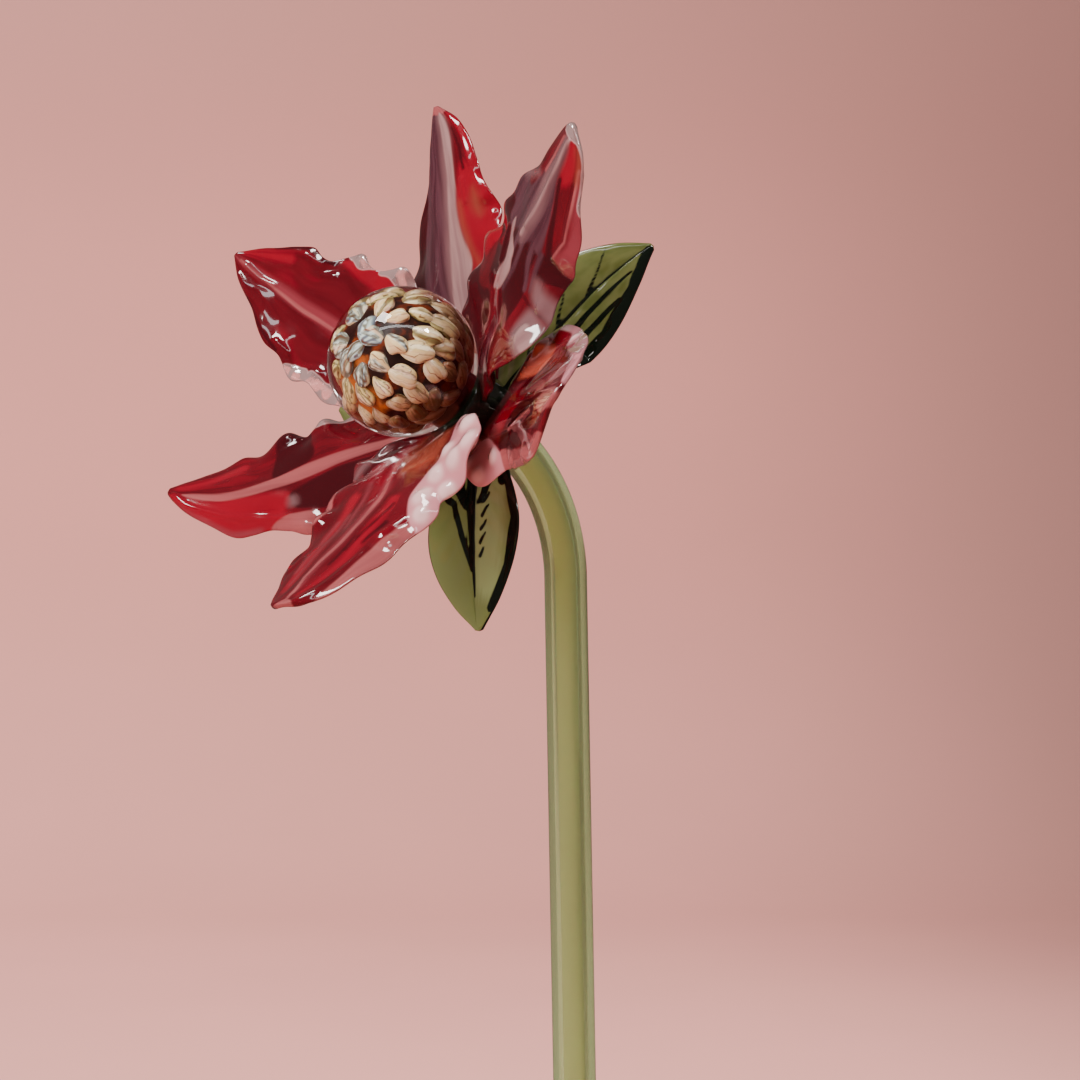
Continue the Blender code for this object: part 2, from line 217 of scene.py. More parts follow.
add_piece("bud_vase", vase, glaze, "vase_glaze", "vase")

# Stem
# One length of thick-walled olive glass tubing. It was bent over a flame at its top, and
# stands loose in the vase's neck with its foot on the floor.

STEM_RADIUS = 0.006
STEM_BORE = 0.003
STEM_FOOT = 0.0104
STEM_SHOULDER = Vector((-0.0041, 0.0, 0.3442))
STEM_LEAN = math.radians(1.02)
STEM_BEND = 0.0460
STEM_NECK = 0.0036
STEM_STEPS = 40
BEND_STEPS = 48
FLOWER_TILT = math.radians(62.5)
FLOWER_HEADING = math.radians(223.0)
OLIVE_LET_THROUGH = (0.17, 0.80, 0.78)
OLIVE_DEPTH = 122.0
OLIVE_TINT = (0.70, 0.79, 0.40)

facing = Vector((math.cos(FLOWER_HEADING), math.sin(FLOWER_HEADING), 0.0))
flower_axis = facing * math.sin(FLOWER_TILT) + Vector((0.0, 0.0, math.cos(FLOWER_TILT)))


def stem_line():
    """The stem's middle line: straight up from the vase's floor, round the bend, to the calyx."""
    line = []
    for k in np.linspace(0.0, 1.0, STEM_STEPS)[:-1]:
        drop = (STEM_SHOULDER.z - STEM_FOOT) * (1 - k)
        line.append(STEM_SHOULDER + Vector((drop * math.tan(STEM_LEAN), 0.0, -drop)))
    for angle in np.linspace(0.0, FLOWER_TILT, BEND_STEPS):
        out = STEM_BEND * (1 - math.cos(angle))
        rise = STEM_BEND * math.sin(angle)
        line.append(STEM_SHOULDER + facing * out + Vector((0.0, 0.0, rise)))
    line.append(line[-1] + flower_axis * STEM_NECK)
    return line


def stem_mesh(line):
    """A tube along the line, with its bore left open from end to end."""
    curve = bpy.data.curves.new("stem_line", "CURVE")
    curve.dimensions = "3D"
    curve.bevel_depth = STEM_RADIUS
    curve.bevel_resolution = 14
    curve.use_fill_caps = False
    spline = curve.splines.new("POLY")
    spline.points.add(len(line) - 1)
    for point, place in zip(spline.points, line):
        point.co = (*place, 1.0)
    guide = bpy.data.objects.new("stem_line", curve)
    bpy.context.scene.collection.objects.link(guide)
    made = guide.evaluated_get(bpy.context.evaluated_depsgraph_get())
    mesh = bpy.data.meshes.new_from_object(made)
    bpy.data.objects.remove(guide)
    return mesh


olive, tree, shader = new_finish(
    "olive_tubing", Base_Color=(*OLIVE_TINT, 1.0), Transmission_Weight=0.84, Roughness=0.0,
    IOR=1.42, Specular_IOR_Level=0.4,
)
where = own_place(tree)
uneven(tree, shader, spots(tree, where, (420, 420, 9), 2.0), 0.05, 0.0004)
inside = {"Color": (*OLIVE_LET_THROUGH, 1.0), "Density": OLIVE_DEPTH}
depth = add_node(tree, "VolumeAbsorption", inside)
tree.links.new(depth.outputs[0], tree.nodes["Material Output"].inputs["Volume"])
stem = add_piece("stem_tube", stem_mesh(stem_line()), olive, "stem_glass", "stem")
wall = stem.modifiers.new("Wall", "SOLIDIFY")
wall.thickness = STEM_RADIUS - STEM_BORE
wall.offset = -1.0

# Calyx
# A lump of black-green glass at the head of the stem. It was melted on, pinched with pliers
# while soft, and carries the ball, the petals and the leaves.

CALYX_BACK = 0.0087
CALYX_SEAT = 0.0062
CALYX_CLEARANCE = 0.0003
CALYX_PINCHES = 9
CALYX_PINCH = 0.030
CALYX_LUMPS = 4
CALYX_LUMP = 0.022
CALYX_WAVES = 7
CALYX_WAVE = 0.00025
CALYX_RADIUS = [
    (0.0, 0.0), (0.2, 0.0075), (0.32, 0.0098), (0.5, 0.0113), (0.68, 0.0104), (0.82, 0.0080),
    (1.0, 0.0),
]
CALYX_HEIGHT = [
    (0.0, 0.0061), (0.2, 0.0078), (0.32, 0.0072), (0.5, 0.0008), (0.68, -0.0058),
    (0.82, -0.0083), (1.0, -0.0086),
]
BLACK_GREEN = (0.003, 0.005, 0.003)
BOTTLE_GREEN = (0.014, 0.030, 0.010)

across_face = (Vector((0.0, 0.0, 1.0)) - flower_axis * flower_axis.z).normalized()
flower = Matrix((across_face, flower_axis.cross(across_face), flower_axis)).transposed()
flower_base = stem_line()[-1] + flower_axis * (CALYX_BACK + CALYX_CLEARANCE)


def on_flower(points, heading=0.0):
    """Points given round the flower's axis, turned to a heading, as places in the frame."""
    turn = Matrix.Rotation(math.radians(heading), 3, "Z")
    return points @ np.array(flower @ turn).T + np.array(flower_base)


def reshape(mesh, shape):
    """Moves a mesh's points: shape takes them in one array and gives new ones."""
    points = np.empty(len(mesh.vertices) * 3, np.float32)
    mesh.vertices.foreach_get("co", points)
    made = np.asarray(shape(points.reshape(-1, 3).astype(float)), np.float32)
    mesh.vertices.foreach_set("co", made.ravel())
    mesh.update()


def round_mesh(name, segments, rings, shape):
    """A closed mesh that is shaped from a globe."""
    mesh = bpy.data.meshes.new(name)
    bm = bmesh.new()
    bmesh.ops.create_uvsphere(bm, u_segments=segments, v_segments=rings, radius=1.0)
    bm.to_mesh(mesh)
    bm.free()
    reshape(mesh, shape)
    return mesh


def turned_out(radius, round_way, height):
    """Points from their distance from the axis, their angle round it and their height."""
    return np.stack([radius * np.cos(round_way), radius * np.sin(round_way), height], -1)


def calyx_shape(globe):
    """A round lump, dished at the front, with pinches that slant a little round it."""
    s = np.arccos(np.clip(globe[:, 2], -1, 1)) / math.pi
    round_way = np.arctan2(globe[:, 1], globe[:, 0])
    body = np.sin(math.pi * s) ** 2
    lumps = CALYX_PINCH * np.cos(CALYX_PINCHES * round_way + 4.0 * s)
    lumps += CALYX_LUMP * np.cos(CALYX_LUMPS * round_way - 9.0 * s)
    radius = through(CALYX_RADIUS, s) * (1.0 + lumps * body)
    wave = CALYX_WAVE * np.cos(CALYX_WAVES * round_way + 1.0)
    return on_flower(turned_out(radius, round_way, through(CALYX_HEIGHT, s) + wave * body))


dark_glass, tree, shader = new_finish(
    "black_green_glass", Roughness=0.05, IOR=1.5, Coat_Weight=0.6, Coat_Roughness=0.02
)
where = own_place(tree)
swirl = spots(tree, where, (210, 210, 210), 3.0)
colour = laid_over(tree, between(tree, swirl, 0.52, 0.75), BLACK_GREEN, BOTTLE_GREEN)
tree.links.new(colour, shader.inputs["Base Color"])
uneven(tree, shader, swirl, 0.35, 0.0012)
knob = round_mesh("calyx_knob", 108, 72, calyx_shape)
add_piece("calyx_knob", knob, dark_glass, "calyx_glass", "calyx")

# Ball core
# A ball of brown and amber glass on a short neck, set round with small drops of cream, olive
# and blue-grey glass like the scales of a bud. The drops were laid on hot, ring by ring.

BALL_RADIUS = 0.020
BALL_HEIGHT = 0.0265
CORE_RADIUS = 0.0116
CORE_NECK = 0.0045
CORE_CLEARANCE = 0.0009
CORE_LUMP = 0.02
AMBER = (0.33, 0.088, 0.012)
BURNT_AMBER = (0.120, 0.018, 0.004)
BROWN_GLASS = (0.012, 0.004, 0.003)
AMBER_SIDE = Vector((-0.83, -0.10, -0.55))
AMBER_SPREAD = 60.0
# Rings of scales from the front pole back: angle from the axis, count, length and width
SCALE_RINGS = [
    (14.0, 3, 0.0070, 0.0058), (39.0, 8, 0.0074, 0.0060), (65.0, 12, 0.0076, 0.0060),
    (91.0, 13, 0.0078, 0.0060), (117.0, 12, 0.0092, 0.0056), (142.0, 9, 0.0088, 0.0046),
]
SCALE_SEAT = 0.0116
SCALE_THICKNESS = 0.0034
SCALE_LIFT = 0.0006
SCALE_SEED = 11
SCALE_START = 23.0
SCALE_DRIFT = 0.17
SCALE_SHIFT = 3.5
SCALE_LEAN = 30.0
SCALE_SIZES = (0.80, 1.14)
# Behind this angle, and between these two round the axis, smaller scales let the amber show
SPARSE_BEHIND = 50.0
SPARSE_SIDE = (95.0, 185.0)
SPARSE_SIZE = 0.80
SCALE_TAPER = 0.36
SCALE_TAIL = 0.04
# Scales in front of this angle are turned thin end first, where their own chance is above this
TURNED_BEFORE = 104.0
TURNED_ABOVE = 0.30
# What makes a scale's outline uneven: how deep, how many times round and how it shifts
SCALE_CORNERS = [(0.09, 3, 40.0), (0.06, 5, 90.0)]
CREAM = (0.58, 0.48, 0.20)
PALE_CREAM = (0.86, 0.76, 0.52)
PINK_CREAM = (0.70, 0.50, 0.40)
HONEY = (0.52, 0.32, 0.07)
TAN = (0.230, 0.125, 0.065)
OLIVE_BROWN = (0.075, 0.045, 0.010)
BLUE_WHITE = (0.50, 0.62, 0.58)
BLUE_GREY = (0.11, 0.14, 0.17)


def core_shape(globe):
    """A ball, not quite round, on a neck that reaches down to the calyx."""
    polar = np.arccos(np.clip(globe[:, 2], -1, 1))
    round_way = np.arctan2(globe[:, 1], globe[:, 0])
    neck = polar > math.pi - math.asin(CORE_NECK / CORE_RADIUS)
    lump = CORE_LUMP * np.cos(5 * round_way + 6 * polar) * np.sin(polar)
    radius = CORE_RADIUS * (1.0 + lump)
    height = BALL_HEIGHT + radius * np.cos(polar)
    height = np.where(neck, CALYX_SEAT + CORE_CLEARANCE, height)
    return on_flower(turned_out(radius * np.sin(polar), round_way, height))


def scale_places():
    """Each scale's angle from the axis, angle round it, lean, length, width and own chance."""
    chance = np.random.default_rng(SCALE_SEED)
    places = []
    for ring, (polar, count, length, width) in enumerate(SCALE_RINGS):
        for i in range(count):
            drift = chance.uniform(-SCALE_DRIFT, SCALE_DRIFT)
            turn = 360.0 * (i + 0.5 * (ring % 2) + drift) / count + SCALE_START
            lean = chance.uniform(-SCALE_LEAN, SCALE_LEAN)
            size = chance.uniform(*SCALE_SIZES)
            if polar > SPARSE_BEHIND and SPARSE_SIDE[0] < turn % 360.0 < SPARSE_SIDE[1]:
                size *= SPARSE_SIZE
            shifted = polar + chance.uniform(-SCALE_SHIFT, SCALE_SHIFT)
            places.append((shifted, turn, lean, length * size, width * size, chance.random()))
    return places


def write_value(mesh, name, values):
    """Keeps a value with each point of a mesh, for its finish to read."""
    kept = mesh.attributes.new(name, "FLOAT", "POINT")
    kept.data.foreach_set("value", np.asarray(values, np.float32))


def scales_mesh():
    """All the drops of glass on the core in one mesh. Each has a fat end and a thin one."""
    mesh = bpy.data.meshes.new("ball_scales")
    bm = bmesh.new()
    notes = []
    for polar, turn, lean, length, width, chance in scale_places():
        drop = bmesh.ops.create_uvsphere(bm, u_segments=20, v_segments=14, radius=1.0)["verts"]
        a, b, c = math.radians(polar), math.radians(turn), math.radians(lean)
        out = Vector((math.sin(a) * math.cos(b), math.sin(a) * math.sin(b), math.cos(a)))
        to_pole = Vector((-math.cos(a) * math.cos(b), -math.cos(a) * math.sin(b), math.sin(a)))
        aside = out.cross(to_pole)
        fat_way = to_pole * math.cos(c) + aside * math.sin(c)
        side_way = aside * math.cos(c) - to_pole * math.sin(c)
        if chance > TURNED_ABOVE and polar < TURNED_BEFORE:
            fat_way, side_way = -fat_way, -side_way
        for vert in drop:
            along, over, up = vert.co.z, vert.co.x, vert.co.y
            corner = math.atan2(over, along)
            blunt = 1.0
            for depth, count, shift in SCALE_CORNERS:
                blunt += depth * math.cos(count * corner + shift * chance)
            along, over = along * blunt, over * blunt
            fat = (max(0.0, 1.0 + along) / 2.0 + SCALE_TAIL) ** SCALE_TAPER
            place = out * SCALE_SEAT + fat_way * (along * length / 2)
            place += side_way * (over * fat * width / 2)
            height = SCALE_SEAT + up * fat * SCALE_THICKNESS / 2 + SCALE_LIFT * along
            vert.co = place.normalized() * height + Vector((0.0, 0.0, BALL_HEIGHT))
            notes.append((along, over, polar, chance))
    bm.to_mesh(mesh)
    bm.free()
    reshape(mesh, on_flower)
    for name, column in zip(("along", "over", "polar", "chance"), np.array(notes).T):
        write_value(mesh, name, column)
    return mesh


def told(tree, name):
    """A value that the mesh carries at each of its points."""
    return add_node(tree, "Attribute", {}, attribute_name=name).outputs["Fac"]


def swing(tree, value, size, middle=0.5):
    """How far a value lies from its middle, drawn out to a size."""
    return sums(tree, "MULTIPLY", sums(tree, "SUBTRACT", value, middle), size)


amber_glass, tree, shader = new_finish("amber_glass", Roughness=0.35, Specular_IOR_Level=0.1)
where = own_place(tree)
melt = spots(tree, where, (200, 200, 200), 4.0, 0.6)
core_middle = flower_base + flower_axis * BALL_HEIGHT
away = add_node(tree, "VectorMath", {0: where, 1: core_middle}, operation="SUBTRACT").outputs[0]
sideways = add_node(tree, "VectorMath", {0: away, 1: AMBER_SIDE}, operation="DOT_PRODUCT")
glow = sums(tree, "MULTIPLY", sideways.outputs["Value"], AMBER_SPREAD)
glow = sums(tree, "ADD", glow, melt)
colour = laid_over(tree, between(tree, melt, 0.48, 0.64), BROWN_GLASS, BURNT_AMBER)
colour = laid_over(tree, between(tree, glow, 0.88, 1.22), colour, AMBER)
tree.links.new(colour, shader.inputs["Base Color"])
uneven(tree, shader, melt, 0.3, 0.0006)
core = round_mesh("amber_core", 96, 64, core_shape)
add_piece("amber_core", core, amber_glass, "core_glass", "ball_core")

scale_glass, tree, shader = new_finish("scale_glass", Roughness=0.28, Specular_IOR_Level=0.25)
where = own_place(tree)
along, over, polar, chance = (told(tree, name) for name in ("along", "over", "polar", "chance"))
soft = spots(tree, where, (260, 260, 260), 2.0)
apart = sums(tree, "MULTIPLY", chance, 37.0)
own = add_node(tree, "CombineXYZ", {"X": along, "Y": over, "Z": apart}).outputs[0]
grain = spots(tree, own, (0.7, 1.8, 1.0), 3.0)
hairs = spots(tree, own, (0.9, 6.0, 1.0), 3.0)
body = laid_over(tree, between(tree, sums(tree, "ADD", chance, soft), 0.75, 1.25), CREAM, PALE_CREAM)
odd = between(tree, sums(tree, "FRACT", sums(tree, "MULTIPLY", chance, 7.0), 0.0), 0.70, 0.90)
body = laid_over(tree, odd, body, PINK_CREAM)
# Painted shade: one side of each drop is laid over with darker honey
slope = sums(tree, "ADD", over, swing(tree, chance, 1.6))
body = laid_over(tree, between(tree, sums(tree, "ADD", slope, soft), 0.5, 1.2, 0.0, 0.6), body, HONEY)
back = between(tree, sums(tree, "ADD", polar, sums(tree, "MULTIPLY", soft, 40.0)), 95.0, 130.0)
body = laid_over(tree, back, body, TAN)
front = between(tree, sums(tree, "ADD", polar, sums(tree, "MULTIPLY", chance, 36.0)), 66.0, 48.0)
blue = laid_over(tree, between(tree, along, -0.3, 0.6), BLUE_GREY, BLUE_WHITE)
body = laid_over(tree, front, body, blue)
middle = sums(tree, "MULTIPLY", over, over)
middle = sums(tree, "ADD", middle, swing(tree, grain, 1.2))
middle = sums(tree, "ADD", middle, swing(tree, chance, 1.0, 0.40))
body = laid_over(tree, between(tree, middle, 0.36, -0.20, 0.0, 0.85), body, OLIVE_BROWN)
shown = between(tree, back, 0.0, 1.0, 0.04, 0.55)
lines = sums(tree, "MULTIPLY", between(tree, hairs, 0.50, 0.66), shown)
body = laid_over(tree, lines, body, OLIVE_BROWN)
tail = between(tree, sums(tree, "ADD", along, sums(tree, "MULTIPLY", grain, 0.8)), 0.0, -0.6, 0.0, 0.9)
body = laid_over(tree, tail, body, BURNT_AMBER)
tree.links.new(body, shader.inputs["Base Color"])
uneven(tree, shader, grain, 0.08, 0.0004)
add_piece("ball_scales", scales_mesh(), scale_glass, "core_glass", "ball_core")

# Ball casing
# A thick casing of clear glass, gathered over the core and rounded while it was turned. It
# magnifies the scales, and leaves a bright clear rim round them.


def casing_shape(globe):
    """A plain ball."""
    return on_flower(globe * BALL_RADIUS + np.array([0.0, 0.0, BALL_HEIGHT]))


clear_glass, tree, shader = new_finish(
    "clear_casing", Base_Color=(1.0, 0.992, 0.975, 1.0), Transmission_Weight=1.0, Roughness=0.0,
    IOR=1.5,
)
where = own_place(tree)
uneven(tree, shader, spots(tree, where, (60, 60, 60), 1.0), 0.04, 0.0006)
ball = round_mesh("clear_ball", 160, 96, casing_shape)
casing = add_piece("clear_ball", ball, clear_glass, "clear_glass", "ball_casing")
# It shades nothing and throws no bent light, so the petals round it stay free of bright specks
casing.visible_shadow = False
casing.visible_diffuse = False

# Petals
# Six petals of ruby glass cased in clear. Each was pressed flat and drawn to a tip, its edges
# pinched into waves over a flame, and it is fused by its root to the calyx in one of two whorls.

ROOT_RADIUS = 0.009
INNER_WHORL = 0.0040
OUTER_WHORL = -0.0024
ROOT_FOLD = {INNER_WHORL: 14.0, OUTER_WHORL: 6.0}
FOLD_START = 0.2
FOLD_OVER = 0.35
FOLD_ROUNDING = 0.004
PETAL_THICKNESS = 0.0034
EDGE_THICKNESS = 0.0017
RIM_BEAD = 0.00035
RIM_BEAD_PLACE = 0.88
RIM_BEAD_REACH = 0.11
FACE_ROUNDING = 0.6
RIDGE_UP = 0.00062
RIDGE_REACH = 1.0
BULB_FAT = 0.00060
RUFFLES = 6.5
RUFFLE_UP = 0.0020
RUFFLE_START = 0.5
RUFFLE_FADE = 1.3
SWELL_MIDDLE = 0.35
# Long waves of a petal: height, count along it, slant across it and start
SWELLS = [(0.00070, 2.1, 0.7, 0.00), (0.00042, 3.9, -1.0, 0.37), (0.00011, 7.3, 1.6, 0.71)]
LINE_STEPS = 240
PETAL_ROWS = 180
PETAL_COLUMNS = 160
STREAK_ACROSS = 0.018


def blade_line(opening, sweep, length, start):
    """Places, sideways and normals at even steps along a midrib. It opens out from the flower's
    axis by three angles, at root, middle and tip, and sweeps aside by two."""
    root, middle, tip = (math.radians(angle) for angle in opening)
    turn, more = (math.radians(angle) for angle in sweep)

    def forward(s):
        angle = root * (1 - s) * (1 - 2 * s) + middle * 4 * s * (1 - s) + tip * s * (2 * s - 1)
        aside = turn * s + more * s * s
        way = np.stack([np.sin(angle) * np.cos(aside), np.sin(aside), np.cos(angle) * np.cos(aside)], -1)
        normal = np.stack([-np.cos(angle), np.zeros_like(s), np.sin(angle)], -1)
        return way, normal

    s = np.linspace(0.0, 1.0, LINE_STEPS + 1)
    way, normals = forward(s)
    steps = forward(s[:-1] + 0.5 / LINE_STEPS)[0] * (length / LINE_STEPS)
    places = np.array(start) + np.vstack([np.zeros(3), np.cumsum(steps, 0)])
    sideways = np.cross(normals, way)
    sideways /= np.linalg.norm(sideways, axis=1)[:, None]
    return places, sideways, normals


def at(line, s):
    """The line's places, sideways and normals at s, from 0 at the root to 1 at the tip."""
    steps = np.linspace(0.0, 1.0, LINE_STEPS + 1)
    return [np.stack([np.interp(s, steps, part[:, i]) for i in range(3)], -1) for part in line]


def pressed(surface, thickness, heading):
    """A globe's shape for a blade: its poles are the root and the tip, and its two faces lie
    half the thickness off the middle surface. Across it, u is -1 and 1 at the edges."""

    def shape(globe):
        s = np.arccos(np.clip(-globe[:, 2], -1, 1)) / math.pi
        around = np.arctan2(globe[:, 1], globe[:, 0])
        u, face = np.cos(around), np.sin(around)
        u = np.where((s < 1e-4) | (s > 1 - 1e-4), 0.0, u)
        middle = surface(s, u)
        step_s, step_u = 0.004, 0.02
        along = surface(np.minimum(s + step_s, 1.0), u) - surface(np.maximum(s - step_s, 0.0), u)
        over = surface(s, np.where(u >= 0, u, u + step_u))
        over -= surface(s, np.where(u >= 0, u - step_u, u))
        normal = np.cross(over, along)
        normal /= np.maximum(np.linalg.norm(normal, axis=1), 1e-12)[:, None]
        rounded = np.sign(face) * np.abs(face) ** FACE_ROUNDING
        return on_flower(middle + normal * (rounded * thickness(s, u))[:, None], heading)

    return shape


def inside_stroke(width, points, along, over):
    """How far inside a stroke each place lies. Its half width runs from one value to another."""
    field = np.full(len(along), -99.0)
    widths = np.linspace(width[0], width[1], len(points))
    ends = list(zip(*points.T, widths))
    for (ax, ay, wa), (bx, by, wb) in zip(ends, ends[1:]):
        dx, dy = bx - ax, by - ay
        span = max(dx * dx + dy * dy, 1e-12)
        k = np.clip(((along - ax) * dx + (over - ay) * dy) / span, 0.0, 1.0)
        gap = np.hypot(along - ax - dx * k, over - ay - dy * k)
        field = np.maximum(field, wa + (wb - wa) * k - gap)
    return field


def inside_area(points, along, over):
    """How far inside a closed outline each place lies. The outline is rounded through its
    points."""
    before, after, later = (np.roll(points, shift, 0) for shift in (1, -1, -2))
    k = np.linspace(0.0, 1.0, 7)[:-1, None, None]
    curve = points + (after - before) * k / 2
    curve += (before - 2.5 * points + 2 * after - later / 2) * k**2
    curve += (1.5 * (points - after) + (later - before) / 2) * k**3
    curve = curve.transpose(1, 0, 2).reshape(-1, 2)
    closed = np.vstack([curve, curve[:1]])
    gap = -inside_stroke((0.0, 0.0), closed, along, over)
    crossings = np.zeros(len(along), int)
    for (ax, ay), (bx, by) in zip(closed, closed[1:]):
        spans = (ay > over) != (by > over)
        rise = by - ay if by != ay else 1.0
        crossings += spans & (along < ax + (over - ay) * (bx - ax) / rise)
    return np.where(crossings % 2 == 1, gap, -gap)


PAINTS = (
    "maroon", "bright", "mauve", "haze", "dusk", "rose", "pale", "ember", "coral", "opal", "clear",
    "vein",
)


def on_blade(points, length):
    """Places given in hundredths of a blade's length and mm across, as mm both ways."""
    return np.array(points, float) / (100.0, 1.0) * (length * 1000, 1.0)


def note_marks(mesh, s, over, across, length, marks):
    """Writes where each point lies on the blade, and how many mm inside each paint's shapes it
    lies. A shape is a closed outline, or the half widths of a stroke and its line."""
    place = np.stack([s * length, across, np.zeros_like(s)], -1).astype(np.float32)
    mesh.attributes.new("place", "FLOAT_VECTOR", "POINT").data.foreach_set("vector", place.ravel())
    along, over = s * length * 1000, over * 1000
    for name in PAINTS:
        field = np.full(len(s), -9.0)
        for shape in marks.get(name, []):
            if isinstance(shape, tuple):
                inside = inside_stroke(shape[0], on_blade(shape[1], length), along, over)
            else:
                inside = inside_area(on_blade(shape, length), along, over)
            field = np.maximum(field, inside)
        write_value(mesh, name, field)


def noted(shape):
    """The same shape, and the s and u of each point that it is given, once it has been used."""
    kept = {}

    def keep(globe):
        kept["s"] = np.arccos(np.clip(-globe[:, 2], -1, 1)) / math.pi
        kept["u"] = np.cos(np.arctan2(globe[:, 1], globe[:, 0]))
        return shape(globe)

    return keep, kept


def half_width(left, right, s, u):
    """From the midrib to the edge. An edge's points are in hundredths of the length and mm."""
    left, right = (through(np.array(edge, float) / (100.0, 1.0), s) for edge in (left, right))
    return np.where(u >= 0, left, right) / 1000


def make_petal(
    name, whorl, heading, opening, sweep, length, left, right, calm=1.0, bulbs=(), ridges=(), **marks
):
    """A petal. Each side is its fold, its ruffles' phase and its edge. Bulbs are fat spots, ridges
    raised lines, and marks the shapes of its paints. A place is in hundredths of the length and
    mm from the midrib, and a bulb ends with its reach in mm."""
    line = blade_line(opening, sweep, length, (ROOT_RADIUS, 0.0, whorl))

    def half(s, u):
        return half_width(left[2], right[2], s, u)

    def surface(s, u):
        centre, sideways, normal = at(line, s)
        fold = np.where(u >= 0, left[0], right[0])
        phase = np.where(u >= 0, left[1], right[1])
        x = np.abs(u) * half(s, u)
        ease = np.clip((s - FOLD_START) / FOLD_OVER, 0.0, 1.0)
        ease = ease * ease * (3 - 2 * ease)
        angle = np.radians(ROOT_FOLD[whorl] + (fold - ROOT_FOLD[whorl]) * ease)
        lift = (np.sqrt(x * x + FOLD_ROUNDING**2) - FOLD_ROUNDING) * np.sin(angle)
        fade = np.sin(math.pi * np.minimum(1.0, s / RUFFLE_START) / 2) * (1 - s) ** RUFFLE_FADE
        ruffle = RUFFLE_UP * np.abs(u) ** 3 * np.cos(math.tau * (RUFFLES * s + phase))
        lift += calm * ruffle * fade
        for height, count, slant, start in SWELLS:
            turn = math.tau * (count * s + slant * u + start + left[1])
            swell = height * np.sin(turn) * np.sin(math.pi * s)
            lift += calm * swell * (SWELL_MIDDLE + (1 - SWELL_MIDDLE) * u * u)
        aside = np.sign(u) * x * np.cos(angle)
        return centre + sideways * aside[:, None] + normal * lift[:, None]

    def swelling(along, over):
        fat, nearest = np.zeros_like(along), np.zeros_like(along)
        for place, aside, reach in bulbs:
            gap = np.hypot(along - place / 100 * length * 1000, over - aside)
            bulb = np.exp(-((gap / reach) ** 2))
            fat += BULB_FAT * reach * bulb
            nearest = np.maximum(nearest, bulb)
        return fat, nearest

    def thickness(s, u):
        body = PETAL_THICKNESS + (EDGE_THICKNESS - PETAL_THICKNESS) * np.maximum(u * u, s**6)
        rim = np.exp(-(((np.abs(u) - RIM_BEAD_PLACE) / RIM_BEAD_REACH) ** 2))
        extra = RIM_BEAD * (1 - s * s) * rim
        along, over = s * length * 1000, u * half(s, u) * 1000
        extra += swelling(along, over)[0]
        for points in ridges:
            gap = inside_stroke((0.0, 0.0), on_blade(points, length), along, over)
            extra += RIDGE_UP * np.exp(-((gap / RIDGE_REACH) ** 2))
        return body / 2 + extra

    keep, kept = noted(pressed(surface, thickness, heading))
    mesh = round_mesh(name, PETAL_COLUMNS, PETAL_ROWS, keep)
    s, u = kept["s"], kept["u"]
    note_marks(mesh, s, u * half(s, u), u * STREAK_ACROSS, length, marks)
    write_value(mesh, "swell", swelling(s * length * 1000, u * half(s, u) * 1000)[1])
    add_piece(name + "_ruby", mesh, ruby_finish, "petal_glass", name)


RUBY = (0.092, 0.0026, 0.0070)
BRIGHT_RUBY = (0.200, 0.0018, 0.0110)
DEEP_RUBY = (0.066, 0.0016, 0.0048)
MAROON = (0.034, 0.0012, 0.0034)
# Orange glass, and on petal_top and petal_upper_right also painted glow where light shines through
EMBER = (0.190, 0.034, 0.021)
# Painted light: far brighter than the glass, standing in for light on petal_right's orange patch
LIT_CORAL = (0.720, 0.120, 0.070)
DUSKY_MAUVE = (0.040, 0.0096, 0.0154)
MAUVE = (0.072, 0.025, 0.034)
HAZE = (0.140, 0.066, 0.070)
DUSK = (0.175, 0.023, 0.032)
ROSE = (0.270, 0.066, 0.068)
DUSKY_ROSE = (0.220, 0.050, 0.054)
PALE = (0.270, 0.152, 0.146)
GREY_PALE = (0.185, 0.098, 0.100)
# Milky glass: pinker as painted shade in the creases between beads, whiter as painted light on their
# tops
OPAL = (0.440, 0.165, 0.185)
OPAL_WHITE = (0.610, 0.375, 0.370)
CLEAR = (0.90, 0.57, 0.55)

ruby_finish, tree, shader = new_finish(
    "ruby_glass", Roughness=0.12, IOR=1.5, Specular_IOR_Level=0.25, Coat_Weight=1.0,
    Coat_Roughness=0.015,
)
place = add_node(tree, "Attribute", {}, attribute_name="place").outputs["Vector"]
streaks = spots(tree, place, (30, 330, 1), 3.0)
threads = spots(tree, place, (45, 1300, 1), 2.0)
clouds = spots(tree, place, (45, 120, 1), 2.0)


def painted(name, soft, ragged):
    """How much of a paint shows in the finish being made. Its edge is so many mm soft, and the
    streaks make it ragged."""
    field = sums(tree, "ADD", told(tree, name), swing(tree, streaks, ragged))
    return between(tree, field, -soft / 2, soft / 2)


colour = laid_over(tree, between(tree, streaks, 0.34, 0.64), DEEP_RUBY, RUBY)
colour = laid_over(tree, between(tree, clouds, 0.50, 0.78, 0.0, 0.5), colour, BRIGHT_RUBY)
colour = laid_over(tree, painted("bright", 2.6, 2.6), colour, BRIGHT_RUBY)
